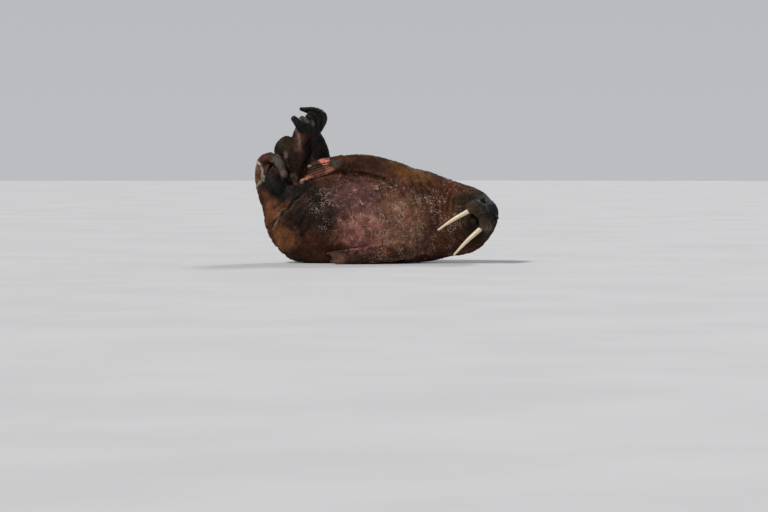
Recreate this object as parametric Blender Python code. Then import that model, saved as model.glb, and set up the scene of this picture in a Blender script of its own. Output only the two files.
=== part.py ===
"""Adult male walrus, life size, lying on its left side with both hind flippers raised. Metres, +Z up.

+X runs towards the head, the belly faces -Y and the animal's right side is up. The floor is z = 0.
The flesh is one smooth field of named masses. It is meshed once, and then parted with thin cuts.
"""

import math
from collections import namedtuple

import bmesh
import bpy
import numpy as np
from mathutils import Matrix, Vector

# Driving dimensions. The masses below are drawn for a body 2.81 m long, and SIZE makes it this animal's 2.57 m.
SIZE = 0.915
CELL = 0.016
ZONE_CELL = 0.030
GAP = 0.0003
FLESH_TRIANGLES = 3850
ZONE_TRIANGLES = 260
FLOOR_BLEND = 0.03
TORSO_MARGIN = 0.015
LIMB_MARGIN = 0.020
LEAST_VOLUME = 0.0004

# What brings the middle of the drawn body over the origin.
SHIFT = np.array([0.0027, 0.0587, 0])

# The head: where the middle of the skull is, how far it rolls towards the right side, and how far it nods.
HEAD_AT = np.array([1.240, -0.280, 0.588])
HEAD_ROLL = math.radians(36)
HEAD_NOD = math.radians(12)
EYE_RADIUS = 0.017
EYE_SUNK = 0.010
EYE_FORWARD, EYE_HIGH = 0.052, 0.082
TUSK_SIDES = 10
TIP_TURNS = (0.60, 1.15)

# Depth over height of the trunk: it lies on its side and is deeper up than from belly to back.
TRUNK_FLAT = 0.72
TRUNK = [
    (1.03, 0.03, 0.530, 0.340),
    (0.72, 0.02, 0.515, 0.465),
    (0.40, 0.02, 0.530, 0.540),
    (0.05, 0.02, 0.535, 0.580),
    (-0.35, 0.02, 0.535, 0.585),
    (-0.72, 0.02, 0.500, 0.530),
    (-0.91, 0.03, 0.660, 0.400),
    (-1.04, 0.05, 0.850, 0.290),
    (-1.07, 0.07, 1.000, 0.190),
]

TOES = 5
WEBS_BETWEEN = 3

Mass = namedtuple("Mass", "group distance low high blend")
Zone = namedtuple("Zone", "outer inner")


def unit(v):
    return np.asarray(v, float) / np.linalg.norm(v)


def head_axes():
    """Rows: towards the snout, towards the crown, towards the head's left."""
    upright = np.array([math.cos(HEAD_ROLL), 0, math.sin(HEAD_ROLL)])
    to_belly = np.array([0, -1, 0])
    snout = to_belly * math.cos(HEAD_NOD) - upright * math.sin(HEAD_NOD)
    crown = upright * math.cos(HEAD_NOD) + to_belly * math.sin(HEAD_NOD)
    return np.array([snout, crown, np.cross(crown, snout)])


HEAD_AXES = head_axes()


def placed(p):
    """A drawn point as a real one."""
    return (np.asarray(p, float) + SHIFT) * SIZE


def on_head(forward, up, left):
    return HEAD_AT + np.array([forward, up, left]) @ HEAD_AXES


def head_row(forward, up, left, radius):
    return (*on_head(forward, up, left), radius)


def smooth_path(rows, steps):
    """Catmull-Rom curve through rows of (x, y, z, radius)."""
    rows = np.asarray(rows, float)
    if len(rows) == 2:
        return rows
    ends = np.vstack([2 * rows[0] - rows[1], rows, 2 * rows[-1] - rows[-2]])
    out = []
    for a, b, c, d in zip(ends, ends[1:], ends[2:], ends[3:]):
        for t in np.arange(steps) / steps:
            square = (2 * a - 5 * b + 4 * c - d) * t * t
            cube = (3 * b - a - 3 * c + d) * t**3
            out.append(0.5 * (2 * b + (c - a) * t + square + cube))
    return np.array(out + [rows[-1]])


def tube(group, rows, blend=0.05, axis=(0, 1, 0), flat=1.0, steps=4):
    """A tapered tube through rows of (x, y, z, radius). flat is its thickness along axis over its width."""
    path = smooth_path([(*placed(row[:3]), row[3] * SIZE) for row in rows], steps)
    centre, radius = path[:, :3], path[:, 3:]
    low, high = (centre - radius).min(0), (centre + radius).max(0)
    n = unit(axis)
    stretch = np.eye(3) + np.outer(n, n) * (1 / flat - 1)
    centre = centre @ stretch

    def distance(p):
        q = p @ stretch
        best = np.full(len(p), np.inf)
        for a, b, ra, rb in zip(centre, centre[1:], radius[:, 0], radius[1:, 0]):
            along = b - a
            t = np.clip((q - a) @ along / (along @ along), 0, 1)
            best = np.minimum(best, np.linalg.norm(q - a - t[:, None] * along, axis=1) - ra - (rb - ra) * t)
        return best

    return Mass(group, distance, low, high, blend * SIZE)


def lump(group, at, radii, blend=0.05, axes=None):
    """An ellipsoid. axes has its own directions as rows."""
    at, radii = placed(at), np.asarray(radii, float) * SIZE
    axes = np.eye(3) if axes is None else axes

    def distance(p):
        q = (p - at) @ axes.T
        near = np.linalg.norm(q / radii, axis=1)
        return near * (near - 1) / (np.linalg.norm(q / radii**2, axis=1) + 1e-9)

    return Mass(group, distance, at - radii.max(), at + radii.max(), blend * SIZE)


def fan(group, first, fifth, blend, short, web, arch=(0, 0, 0)):
    """Five toes with webs between them, ruled from the first toe's rows to the fifth's.

    short draws the middle toes back, web thins what lies between toes and arch bends the middle out.
    """
    first, fifth = np.asarray(first, float), np.asarray(fifth, float)
    along = np.linspace(0, 1, len(first))
    strips = (TOES - 1) * (WEBS_BETWEEN + 1)
    masses = []
    for i in range(strips + 1):
        t = i / strips
        is_toe = i % (WEBS_BETWEEN + 1) == 0
        middle = 4 * t * (1 - t)
        rows = first + (fifth - first) * t
        rows[:, :3] += np.outer(along * middle, arch)
        reach = 1 - short * middle - (0 if is_toe else 0.08)
        drawn = np.array([np.interp(along * reach, along, column) for column in rows.T]).T
        thin = 1 if is_toe else web + (1 - web) * (1 - along) ** 2
        drawn[:, 3] = rows[:, 3] * thin * (0.9 if is_toe and middle > 0 else 1)
        masses.append(tube(group, drawn, blend, steps=3))
    return masses


def trunk_masses():
    return [
        tube("torso", TRUNK, 0.02, flat=TRUNK_FLAT, steps=9),
        lump("torso", (-0.10, -0.06, 0.42), (0.75, 0.37, 0.40), 0.15),
        lump("torso", (0.50, 0.00, 0.62), (0.30, 0.28, 0.38), 0.15),
        lump("torso", (-0.85, 0.02, 0.27), (0.22, 0.27, 0.22), 0.10),
        lump("torso", (1.00, -0.01, 0.36), (0.25, 0.21, 0.25), 0.10),
    ]


def head_masses():
    """Skull, bridge of the nose, whisker pads, chin, jowls and brows, in the head's own directions."""
    neck = [head_row(-0.10, -0.05, 0, 0.172), (1.125, -0.075, 0.520, 0.250), (0.98, 0.03, 0.50, 0.33)]
    chin = [head_row(-0.08, -0.12, 0, 0.105), head_row(0.04, -0.135, 0, 0.078), head_row(0.115, -0.135, 0, 0.052)]
    masses = [tube("torso", neck, 0.12), tube("torso", chin, 0.03)]

    def part(forward, up, left, radii, blend):
        masses.append(lump("torso", on_head(forward, up, left), radii, blend, HEAD_AXES))

    part(-0.070, -0.004, 0, (0.195, 0.142, 0.168), 0.05)
    part(0.060, 0.020, 0, (0.165, 0.090, 0.125), 0.05)
    part(0.120, -0.005, 0, (0.100, 0.070, 0.080), 0.03)
    part(0.190, 0.045, 0, (0.040, 0.036, 0.060), 0.03)
    for side in (1, -1):
        part(0.150, -0.012, 0.094 * side, (0.080, 0.080, 0.104), 0.035)
        part(0.050, 0.070, 0.112 * side, (0.050, 0.034, 0.032), 0.03)
        jowl = [head_row(0.10, -0.02, 0.105 * side, 0.080), head_row(-0.08, -0.045, 0.115 * side, 0.100)]
        masses.append(tube("torso", jowl, 0.05))
    return masses


def right_foreflipper():
    """It lies back along the upper flank and reaches to the hind limbs."""
    arm = [
        (0.42, -0.04, 0.860, 0.200),
        (0.25, -0.08, 0.985, 0.175),
        (0.00, -0.11, 1.090, 0.145),
        (-0.22, -0.13, 1.145, 0.115),
        (-0.42, -0.15, 1.150, 0.085),
    ]
    first = [
        (-0.400, -0.165, 1.120, 0.070),
        (-0.520, -0.180, 1.070, 0.048),
        (-0.640, -0.187, 1.030, 0.036),
        (-0.750, -0.187, 0.990, 0.029),
        (-0.865, -0.180, 0.943, 0.020),
    ]
    fifth = [
        (-0.400, -0.150, 1.165, 0.080),
        (-0.500, -0.160, 1.155, 0.068),
        (-0.600, -0.165, 1.150, 0.056),
        (-0.680, -0.170, 1.135, 0.044),
        (-0.760, -0.180, 1.108, 0.028),
    ]
    palm = [(-0.40, -0.10, 1.05, 0.075), (-0.62, -0.130, 1.035, 0.062), (-0.80, -0.130, 0.985, 0.050)]
    return [tube("right_arm", arm), tube("right_arm", palm)] + fan("right_arm", first, fifth, 0.05, 0.10, 0.7)


def left_foreflipper():
    """It comes out from under the chest and lies on the floor along the belly."""
    arm = [(0.36, -0.20, 0.20, 0.16), (0.15, -0.36, 0.13, 0.12), (-0.05, -0.44, 0.105, 0.095)]
    first = [
        (-0.040, -0.400, 0.135, 0.070),
        (-0.180, -0.415, 0.140, 0.050),
        (-0.300, -0.420, 0.140, 0.036),
        (-0.420, -0.420, 0.135, 0.027),
        (-0.545, -0.415, 0.120, 0.020),
    ]
    fifth = [
        (-0.040, -0.450, 0.070, 0.080),
        (-0.180, -0.490, 0.052, 0.060),
        (-0.300, -0.510, 0.042, 0.048),
        (-0.400, -0.520, 0.035, 0.040),
        (-0.500, -0.520, 0.028, 0.028),
    ]
    palm = [(0.0, -0.36, 0.09, 0.10), (-0.25, -0.39, 0.07, 0.085), (-0.44, -0.40, 0.055, 0.065)]
    return [tube("left_arm", arm), tube("left_arm", palm)] + fan("left_arm", first, fifth, 0.025, 0.08, 0.7)


def right_hind_limb():
    leg = [(-0.82, 0.06, 0.95, 0.30), (-0.80, 0.05, 1.18, 0.275), (-0.79, 0.03, 1.34, 0.215), (-0.80, 0.0, 1.50, 0.14)]
    heel = [(-0.86, -0.08, 1.36, 0.13), (-0.90, -0.16, 1.18, 0.105), (-0.93, -0.20, 1.03, 0.055)]
    tendon = [(-0.92, -0.05, 1.50, 0.03), (-0.88, -0.13, 1.42, 0.035), (-0.85, -0.17, 1.33, 0.04)]
    first = [
        (-0.760, 0.040, 1.480, 0.100),
        (-0.665, 0.080, 1.600, 0.082),
        (-0.630, 0.110, 1.685, 0.066),
        (-0.715, 0.120, 1.740, 0.054),
        (-0.860, 0.110, 1.770, 0.028),
    ]
    fifth = [
        (-0.800, -0.030, 1.480, 0.095),
        (-0.840, -0.070, 1.540, 0.070),
        (-0.875, -0.100, 1.590, 0.058),
        (-0.905, -0.115, 1.625, 0.050),
        (-0.938, -0.120, 1.656, 0.043),
    ]
    return [
        tube("right_hind", leg, 0.06, flat=0.72),
        tube("right_hind", heel, 0.05),
        tube("right_hind", tendon, 0.04),
    ] + fan("right_hind", first, fifth, 0.03, 0.26, 0.7, (0.03, 0, 0))


def tail():
    root = [(-0.98, 0.10, 1.12, 0.20), (-1.03, 0.10, 1.30, 0.15)]
    tip = [(-1.03, 0.10, 1.30, 0.11), (-1.03, 0.10, 1.38, 0.08)]
    return [tube("tail", root, 0.05, flat=0.6), tube("tail", tip, 0.05, flat=0.6)]


def left_hind_limb():
    """The foot folds over, so that its toes hang down beside the heel."""
    leg = [(-1.04, 0.05, 0.66, 0.24), (-1.19, 0.04, 0.80, 0.165), (-1.28, 0.02, 0.95, 0.115), (-1.305, 0.0, 1.08, 0.09)]
    sole = [(-1.04, -0.15, 0.75, 0.065), (-1.13, -0.15, 0.88, 0.115), (-1.22, -0.10, 1.05, 0.105)]
    first = [
        (-1.300, -0.030, 1.050, 0.085),
        (-1.295, -0.080, 1.160, 0.072),
        (-1.205, -0.160, 1.215, 0.058),
        (-1.110, -0.220, 1.160, 0.058),
        (-1.050, -0.240, 1.025, 0.048),
    ]
    fifth = [
        (-1.300, 0.060, 1.050, 0.085),
        (-1.310, 0.110, 1.160, 0.068),
        (-1.240, 0.140, 1.210, 0.058),
        (-1.170, 0.140, 1.170, 0.055),
        (-1.130, 0.130, 1.080, 0.050),
    ]
    return [
        tube("left_hind", leg, 0.05),
        lump("left_foot", (-1.15, 0.02, 1.06), (0.12, 0.16, 0.12), 0.06),
        tube("left_foot", sole, 0.04, axis=(0.5, -0.85, 0), flat=0.8),
    ] + fan("left_foot", first, fifth, 0.04, 0.18, 0.7)


FLESH = (
    trunk_masses()
    + head_masses()
    + right_foreflipper()
    + right_hind_limb()
    + tail()
    + left_hind_limb()
    + left_foreflipper()
)


def smooth_min(a, b, blend):
    h = np.clip(1 - np.abs(a - b) / blend, 0, 1)
    return np.minimum(a, b) - h * h * blend / 4


def field(p, groups=None, grow=0.0):
    """Negative inside the flesh. The floor presses it flat at z = 0."""
    f = np.full(len(p), 1.0)
    for mass in FLESH:
        if groups and mass.group not in groups:
            continue
        margin = mass.blend + 0.05
        near = np.all((p > mass.low - margin) & (p < mass.high + margin), axis=1)
        if near.any():
            f[near] = smooth_min(f[near], mass.distance(p[near]), mass.blend)
    if groups:
        return f - grow
    return -smooth_min(-f, p[:, 2], FLOOR_BLEND)


def grid_values(low, counts, step, groups, grow):
    """The field on a grid, worked out finely only near the surface."""
    ratio = 3
    coarse_counts = counts // ratio + 1
    coarse = np.indices(coarse_counts).reshape(3, -1).T * step * ratio + low + step
    rough = field(coarse, groups, grow).reshape(coarse_counts)
    for axis in range(3):
        rough = np.repeat(rough, ratio, axis)
    values = rough[: counts[0], : counts[1], : counts[2]].copy()
    close = np.argwhere(np.abs(values) < 4 * step * ratio / 2)
    values[tuple(close.T)] = field(close * step + low, groups, grow)
    return values


def without_checkers(values, step):
    """Fills the corners where two surfaces would share an edge: crevices thinner than the grid."""
    halves = (slice(None, -1), slice(1, None))
    for axes in ((0, 1), (1, 2), (2, 0)) * 3:
        corners = []
        for ends in ((0, 0), (0, 1), (1, 1), (1, 0)):
            where = [slice(None)] * 3
            for axis, end in zip(axes, ends):
                where[axis] = halves[end]
            corners.append(values[tuple(where)])
        a, b, c, d = (corner < 0 for corner in corners)
        checker = (a == c) & (b == d) & (a != b)
        for corner in corners:
            corner[checker & (corner >= 0)] = -0.1 * step
    return values


def surface_nets(values, low, step):
    """Points in the cells that the surface crosses, and a quad round each grid edge that it crosses."""
    counts = np.array(values.shape)
    cells = tuple(counts - 1)
    total, hits = np.zeros(cells + (3,)), np.zeros(cells)
    for axis in range(3):
        u, v = (axis + 1) % 3, (axis + 2) % 3
        for du, dv in ((0, 0), (0, 1), (1, 0), (1, 1)):
            start = [slice(0, n - 1) for n in counts]
            start[u] = slice(du, du + counts[u] - 1)
            start[v] = slice(dv, dv + counts[v] - 1)
            end = list(start)
            end[axis] = slice(1, counts[axis])
            a, b = values[tuple(start)], values[tuple(end)]
            crossed = (a < 0) != (b < 0)
            share = np.zeros(cells + (3,))
            share[..., axis] = a / np.where(crossed, a - b, 1)
            share[..., u], share[..., v] = du, dv
            total += share * crossed[..., None]
            hits += crossed
    used = hits > 0
    number = np.full(cells, -1)
    number[used] = np.arange(used.sum())
    points = low + step * (np.argwhere(used) + total[used] / hits[used][:, None])
    quads = []
    for axis in range(3):
        u, v = (axis + 1) % 3, (axis + 2) % 3
        start = [slice(1, n - 1) for n in counts]
        start[axis] = slice(0, counts[axis] - 1)
        end = list(start)
        end[axis] = slice(1, counts[axis])
        a, b = values[tuple(start)] < 0, values[tuple(end)] < 0
        for leaves, turn in ((a & ~b, 1), (b & ~a, -1)):
            where = np.argwhere(leaves)
            where[:, [u, v]] += 1
            ring = []
            for du, dv in ((-1, -1), (0, -1), (0, 0), (-1, 0)):
                cell = where.copy()
                cell[:, u] += du
                cell[:, v] += dv
                ring.append(number[tuple(cell.T)])
            quads.append(np.stack(ring[::turn], 1))
    return points, np.concatenate(quads)


def gradient(p, groups, grow, h=0.002):
    total = np.zeros_like(p)
    for corner in ((1, -1, -1), (-1, -1, 1), (-1, 1, -1), (1, 1, 1)):
        offset = h * np.array(corner, float)
        total += np.outer(field(p + offset, groups, grow), offset)
    return total / (4 * h * h)


def flesh_surface(step, groups=None, grow=0.0):
    """Points and quads of the surface of these groups, or of the whole body."""
    low, high = placed((-1.50, -0.66, -0.06)), placed((1.50, 0.60, 1.90))
    counts = np.ceil((high - low) / step).astype(int)
    values = without_checkers(grid_values(low, counts, step, groups, grow), step)
    points, quads = surface_nets(values, low, step)
    for _ in range(2):
        slope = gradient(points, groups, grow)
        steep = np.maximum((slope**2).sum(1), 0.05)[:, None]
        points = points - np.clip(field(points, groups, grow), -step, step)[:, None] * slope / steep
    return points, quads


def mesh_object(name, points, faces):
    mesh = bpy.data.meshes.new(name)
    mesh.from_pydata([tuple(p) for p in points], [], [tuple(int(i) for i in f) for f in faces])
    obj = bpy.data.objects.new(name, mesh)
    bpy.context.scene.collection.objects.link(obj)
    return obj


def settle(obj):
    """Applies the object's modifiers and takes them off."""
    bpy.context.view_layer.update()
    evaluated = obj.evaluated_get(bpy.context.evaluated_depsgraph_get())
    mesh = bpy.data.meshes.new_from_object(evaluated)
    obj.modifiers.clear()
    obj.data = mesh
    return obj


def decimated(name, surface, triangles):
    obj = mesh_object(name, *surface)
    modifier = obj.modifiers.new("fewer", "DECIMATE")
    modifier.ratio = triangles / (2 * len(obj.data.polygons))
    settle(obj)
    for vertex in obj.data.vertices:
        if abs(vertex.co.z) < 2 * GAP:
            vertex.co.z = 0.0
    return obj


def copied(obj, name):
    twin = bpy.data.objects.new(name, obj.data.copy())
    bpy.context.scene.collection.objects.link(twin)
    return twin


def removed(*objects):
    for obj in objects:
        bpy.data.objects.remove(obj)


def combined(obj, other, operation):
    modifier = obj.modifiers.new("cut", "BOOLEAN")
    modifier.operation = operation
    modifier.object = other
    return settle(obj)


def zone(groups, grow):
    """Two nested cutters a gap apart: what lies outside the outer one parts from what lies in the inner one."""
    outer = decimated("zone", flesh_surface(ZONE_CELL, groups, grow), ZONE_TRIANGLES)
    inner = copied(outer, "zone_inner")
    for a, b in zip(inner.data.vertices, outer.data.vertices):
        a.co = b.co - b.normal * GAP
    return Zone(outer, inner)


def parted(obj, cutters):
    """(what lies inside the zone, what lies outside it)"""
    inside = combined(copied(obj, "inside"), cutters.inner, "INTERSECT")
    outside = combined(obj, cutters.outer, "DIFFERENCE")
    removed(*cutters)
    return inside, outside


def slab(at, normal, across, wide, high):
    """A sheet a gap thick, square to normal, that reaches wide along across and high the other way."""
    n, a = Vector(normal).normalized(), Vector(across)
    a = (a - n * a.dot(n)).normalized()
    frame = Matrix((a, n.cross(a), n)).transposed().to_4x4()
    frame.translation = Vector(placed(at))
    obj = mesh_object("slab", [], [])
    bm = bmesh.new()
    size = Matrix.Diagonal((2 * wide * SIZE, 2 * high * SIZE, GAP, 1))
    bmesh.ops.create_cube(bm, size=1, matrix=frame @ size)
    bm.to_mesh(obj.data)
    bm.free()
    return obj


def sliced(obj, *slabs):
    for sheet in slabs:
        combined(obj, sheet, "DIFFERENCE")
    removed(*slabs)
    return obj


def volume(mesh):
    mesh.calc_loop_triangles()
    points = np.array([v.co for v in mesh.vertices]).reshape(-1, 3)
    corners = points[np.array([t.vertices for t in mesh.loop_triangles]).reshape(-1, 3)]
    return np.linalg.det(corners).sum() / 6


def bodies_of(obj):
    """The separate bodies of the mesh, each as an object, without crumbs that a cut leaves."""
    bm = bmesh.new()
    bm.from_mesh(obj.data)
    bm.verts.index_update()
    number = {}
    for seed in bm.verts:
        if seed in number:
            continue
        group = len(set(number.values()))
        stack = [seed]
        number[seed] = group
        while stack:
            for edge in stack.pop().link_edges:
                for vertex in edge.verts:
                    if vertex not in number:
                        number[vertex] = group
                        stack.append(vertex)
    count = len(set(number.values()))
    points = [[] for _ in range(count)]
    place = {}
    for vertex in bm.verts:
        place[vertex] = len(points[number[vertex]])
        points[number[vertex]].append(vertex.co.copy())
    faces = [[] for _ in range(count)]
    for face in bm.faces:
        faces[number[face.verts[0]]].append([place[v] for v in face.verts])
    bm.free()
    bodies = [mesh_object("body", p, f) for p, f in zip(points, faces)]
    removed(obj)
    crumbs = [body for body in bodies if abs(volume(body.data)) < LEAST_VOLUME]
    removed(*crumbs)
    return [body for body in bodies if body not in crumbs]


def named(bodies, anchors):
    """Names each body after the anchor that lies nearest to one of its points."""
    found = {}
    for name, at in anchors.items():
        at = Vector(placed(at))
        nearest = min(bodies, key=lambda body: min((v.co - at).length for v in body.data.vertices))
        nearest.name = nearest.data.name = name
        found[name] = nearest
    return found


def material(name, colour, roughness):
    """A plain finish."""
    made = bpy.data.materials.new(name)
    made.use_nodes = True
    shader = made.node_tree.nodes["Principled BSDF"]
    shader.inputs["Base Color"].default_value = (*colour, 1)
    shader.inputs["Roughness"].default_value = roughness
    return made


def rounded(path):
    """Adds the rings of a round tip to the end of a path."""
    end = path[-1]
    way = unit(end[:3] - path[-2, :3])
    tip = [(*(end[:3] + way * end[3] * math.sin(a)), end[3] * math.cos(a)) for a in TIP_TURNS]
    return np.vstack([path, tip])


def tusk(name, rows):
    """A slightly curved ivory cone with a round tip."""
    path = rounded(smooth_path([(*placed(row[:3]), row[3] * SIZE) for row in rows], 3))
    along = np.gradient(path[:, :3], axis=0)
    points, faces = [], []
    for centre, radius, direction in zip(path[:, :3], path[:, 3], along):
        n = unit(direction)
        a = unit(np.cross(n, (0, 1, 0)))
        b = np.cross(n, a)
        for k in range(TUSK_SIDES):
            angle = 2 * math.pi * k / TUSK_SIDES
            points.append(centre + radius * (math.cos(angle) * a + math.sin(angle) * b))
    rings = len(path)
    for i in range(rings - 1):
        for k in range(TUSK_SIDES):
            j = (k + 1) % TUSK_SIDES
            low, high = i * TUSK_SIDES, (i + 1) * TUSK_SIDES
            faces.append((low + k, low + j, high + j, high + k))
    faces.append(tuple(reversed(range(TUSK_SIDES))))
    faces.append(tuple((rings - 1) * TUSK_SIDES + k for k in range(TUSK_SIDES)))
    return outward(mesh_object(name, points, faces))


def outward(obj):
    """Turns the faces out."""
    bm = bmesh.new()
    bm.from_mesh(obj.data)
    bmesh.ops.recalc_face_normals(bm, faces=bm.faces)
    bm.to_mesh(obj.data)
    bm.free()
    return obj


def ball(name, centre, radius):
    obj = mesh_object(name, [], [])
    bm = bmesh.new()
    bmesh.ops.create_uvsphere(bm, u_segments=12, v_segments=8, radius=radius)
    bmesh.ops.translate(bm, verts=bm.verts, vec=centre)
    bm.to_mesh(obj.data)
    bm.free()
    return obj


def eye_centre(side):
    """The middle of the eyeball, found by walking in from beside the head until the flesh is met."""
    out = 0.30
    while out > 0 and field(placed([on_head(EYE_FORWARD, EYE_HIGH, side * out)]))[0] > 0:
        out -= 0.0005
    return placed(on_head(EYE_FORWARD, EYE_HIGH, side * out)) - side * EYE_SUNK * HEAD_AXES[2]


def make_tusks():
    right = [
        (1.160, -0.405, 0.662, 0.0295),
        (1.080, -0.440, 0.617, 0.0285),
        (0.890, -0.465, 0.514, 0.0220),
        (0.712, -0.415, 0.392, 0.0100),
    ]
    left = [
        (1.262, -0.405, 0.480, 0.0295),
        (1.203, -0.440, 0.414, 0.0285),
        (1.041, -0.465, 0.268, 0.0220),
        (0.891, -0.415, 0.106, 0.0100),
    ]
    return [tusk("right_tusk", right), tusk("left_tusk", left)]


def socket(obj, piece):
    """Cuts the piece's bed, a gap wider than the piece."""
    wider = copied(piece, "socket")
    for vertex, source in zip(wider.data.vertices, piece.data.vertices):
        vertex.co = source.co + source.normal * GAP
    combined(obj, wider, "DIFFERENCE")
    removed(wider)


def part_head(torso):
    """Cuts across the torso and the head."""
    snout, crown, left = HEAD_AXES
    neck_way = on_head(-0.10, -0.05, 0) - np.array([1.10, -0.06, 0.51])
    cuts = [
        slab((1.165, -0.125, 0.535), neck_way, (0, 0, 1), 0.42, 0.40),
        slab((0.74, 0, 0.5), (1, 0, 0), (0, 1, 0), 0.7, 0.7),
        slab((0.05, 0, 0.5), (1, 0, 0), (0, 1, 0), 0.8, 0.8),
        slab((-0.62, 0, 0.5), (1, 0, 0), (0, 1, 0), 0.8, 0.8),
        slab(on_head(0.078, 0, 0), snout, left, 0.25, 0.27),
        slab(on_head(0.228, -0.098, 0), crown, left, 0.25, 0.15),
    ]
    return bodies_of(sliced(torso, *cuts))


def main():
    for obj in list(bpy.data.objects):
        bpy.data.objects.remove(obj)
    whole = decimated("whole", flesh_surface(CELL), FLESH_TRIANGLES)
    torso, limbs = parted(whole, zone({"torso"}, TORSO_MARGIN))
    nodes = named(
        part_head(torso),
        {
            "head": on_head(-0.05, 0.14, 0),
            "muzzle": on_head(0.23, 0, 0.09),
            "chin": on_head(0.15, -0.16, 0),
            "neck": (0.95, 0.3, 0.5),
            "chest": (0.40, 0.42, 0.5),
            "belly": (-0.30, 0.45, 0.5),
            "rump": (-1.0, 0.3, 0.5),
        },
    )
    hind_limb, limbs = parted(limbs, zone({"right_hind"}, LIMB_MARGIN))
    tail_body, limbs = parted(limbs, zone({"tail"}, LIMB_MARGIN))
    foot, limbs = parted(limbs, zone({"left_foot"}, LIMB_MARGIN))
    sliced(hind_limb, slab((-0.77, 0, 1.475), (0, 0, 1), (1, 0, 0), 0.22, 0.25))
    sliced(
        limbs,
        slab((-0.43, -0.05, 1.12), (1, 0, 0), (0, 1, 0), 0.3, 0.25),
        slab((-0.06, -0.44, 0.10), (1, 0.2, 0), (0, 0, 1), 0.2, 0.2),
    )
    limb_bodies = bodies_of(limbs) + bodies_of(hind_limb) + bodies_of(tail_body) + bodies_of(foot)
    nodes |= named(
        limb_bodies,
        {
            "right_arm": (0.0, -0.10, 1.24),
            "right_foreflipper": (-0.60, -0.20, 1.15),
            "left_arm": (0.05, -0.48, 0.12),
            "left_foreflipper": (-0.35, -0.53, 0.05),
            "right_hind_leg": (-0.60, 0.05, 1.25),
            "right_hind_flipper": (-0.58, 0.10, 1.68),
            "tail": (-1.03, 0.14, 1.44),
            "left_hind_leg": (-1.35, 0.02, 0.80),
            "left_hind_flipper": (-1.20, -0.10, 1.25),
        },
    )
    tusks = make_tusks()
    eyes = [ball("right_eye", eye_centre(-1), EYE_RADIUS), ball("left_eye", eye_centre(1), EYE_RADIUS)]
    for piece in tusks:
        for name in ("muzzle", "chin", "head"):
            socket(nodes[name], piece)
    for piece in eyes:
        socket(nodes["head"], piece)
    finish(nodes, tusks, eyes)


def finish(nodes, tusks, eyes):
    """Gives every piece its finish."""
    brown = material("brown_hide", (0.110, 0.056, 0.034), 0.75)
    dark = material("dark_hide", (0.030, 0.024, 0.020), 0.70)
    black = material("flipper_hide", (0.016, 0.015, 0.015), 0.55)
    ivory = material("ivory", (0.62, 0.53, 0.38), 0.35)
    wet = material("eye", (0.012, 0.008, 0.006), 0.08)
    for name, obj in nodes.items():
        dark_part = name in ("head", "muzzle", "chin")
        obj.data.materials.append(dark if dark_part else black if "flipper" in name else brown)
        obj.data.shade_smooth()
        obj.data.set_sharp_from_angle(angle=math.radians(50))
    for obj in tusks:
        obj.data.materials.append(ivory)
        obj.data.shade_smooth()
    for obj in eyes:
        obj.data.materials.append(wet)
        obj.data.shade_smooth()


main()
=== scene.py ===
"""Looks of the life-size walrus: one skin, its short coat, whiskers, nails, tusks and eyes. Metres, +Z up.

The skin is the same smooth field of named masses as the solids, drawn in by the coat's depth and with
creases, lids, lips and folds added. Marks are painted by named places on the body.
"""

import math
from collections import namedtuple

import bpy
import numpy as np
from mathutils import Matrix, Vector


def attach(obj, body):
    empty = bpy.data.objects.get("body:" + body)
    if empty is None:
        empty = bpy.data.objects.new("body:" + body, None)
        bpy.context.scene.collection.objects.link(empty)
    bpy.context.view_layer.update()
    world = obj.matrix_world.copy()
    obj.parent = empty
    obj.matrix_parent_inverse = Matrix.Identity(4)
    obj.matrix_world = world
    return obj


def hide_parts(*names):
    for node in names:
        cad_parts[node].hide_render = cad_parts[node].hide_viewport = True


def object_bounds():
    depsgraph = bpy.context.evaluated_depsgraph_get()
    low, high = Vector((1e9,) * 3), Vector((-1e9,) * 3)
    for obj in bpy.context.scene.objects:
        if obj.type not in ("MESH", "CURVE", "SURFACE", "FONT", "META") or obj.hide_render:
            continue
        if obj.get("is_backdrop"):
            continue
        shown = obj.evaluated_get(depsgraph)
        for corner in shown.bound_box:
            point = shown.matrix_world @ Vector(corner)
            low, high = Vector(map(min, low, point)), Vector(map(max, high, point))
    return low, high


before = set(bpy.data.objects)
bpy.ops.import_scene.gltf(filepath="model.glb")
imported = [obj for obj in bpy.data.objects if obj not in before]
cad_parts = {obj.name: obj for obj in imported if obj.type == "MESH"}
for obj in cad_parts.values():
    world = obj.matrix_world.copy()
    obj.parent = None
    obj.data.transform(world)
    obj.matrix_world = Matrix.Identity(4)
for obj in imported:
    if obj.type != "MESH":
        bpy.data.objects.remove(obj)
cad_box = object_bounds()

# Sizes shared with the solids.
SIZE = 0.915
SHIFT = np.array([0.0027, 0.0587, 0])
FLOOR_BLEND = 0.03
HEAD_AT = np.array([1.240, -0.280, 0.588])
HEAD_ROLL = math.radians(36)
HEAD_NOD = math.radians(12)
EYE_RADIUS = 0.017
EYE_SUNK = 0.010
EYE_FORWARD, EYE_HIGH = 0.052, 0.082
TRUNK_FLAT = 0.72
TOES = 5
WEBS_BETWEEN = 3
WEB_SHORT = 0.08
MIDDLE_TOES = 0.9

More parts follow.
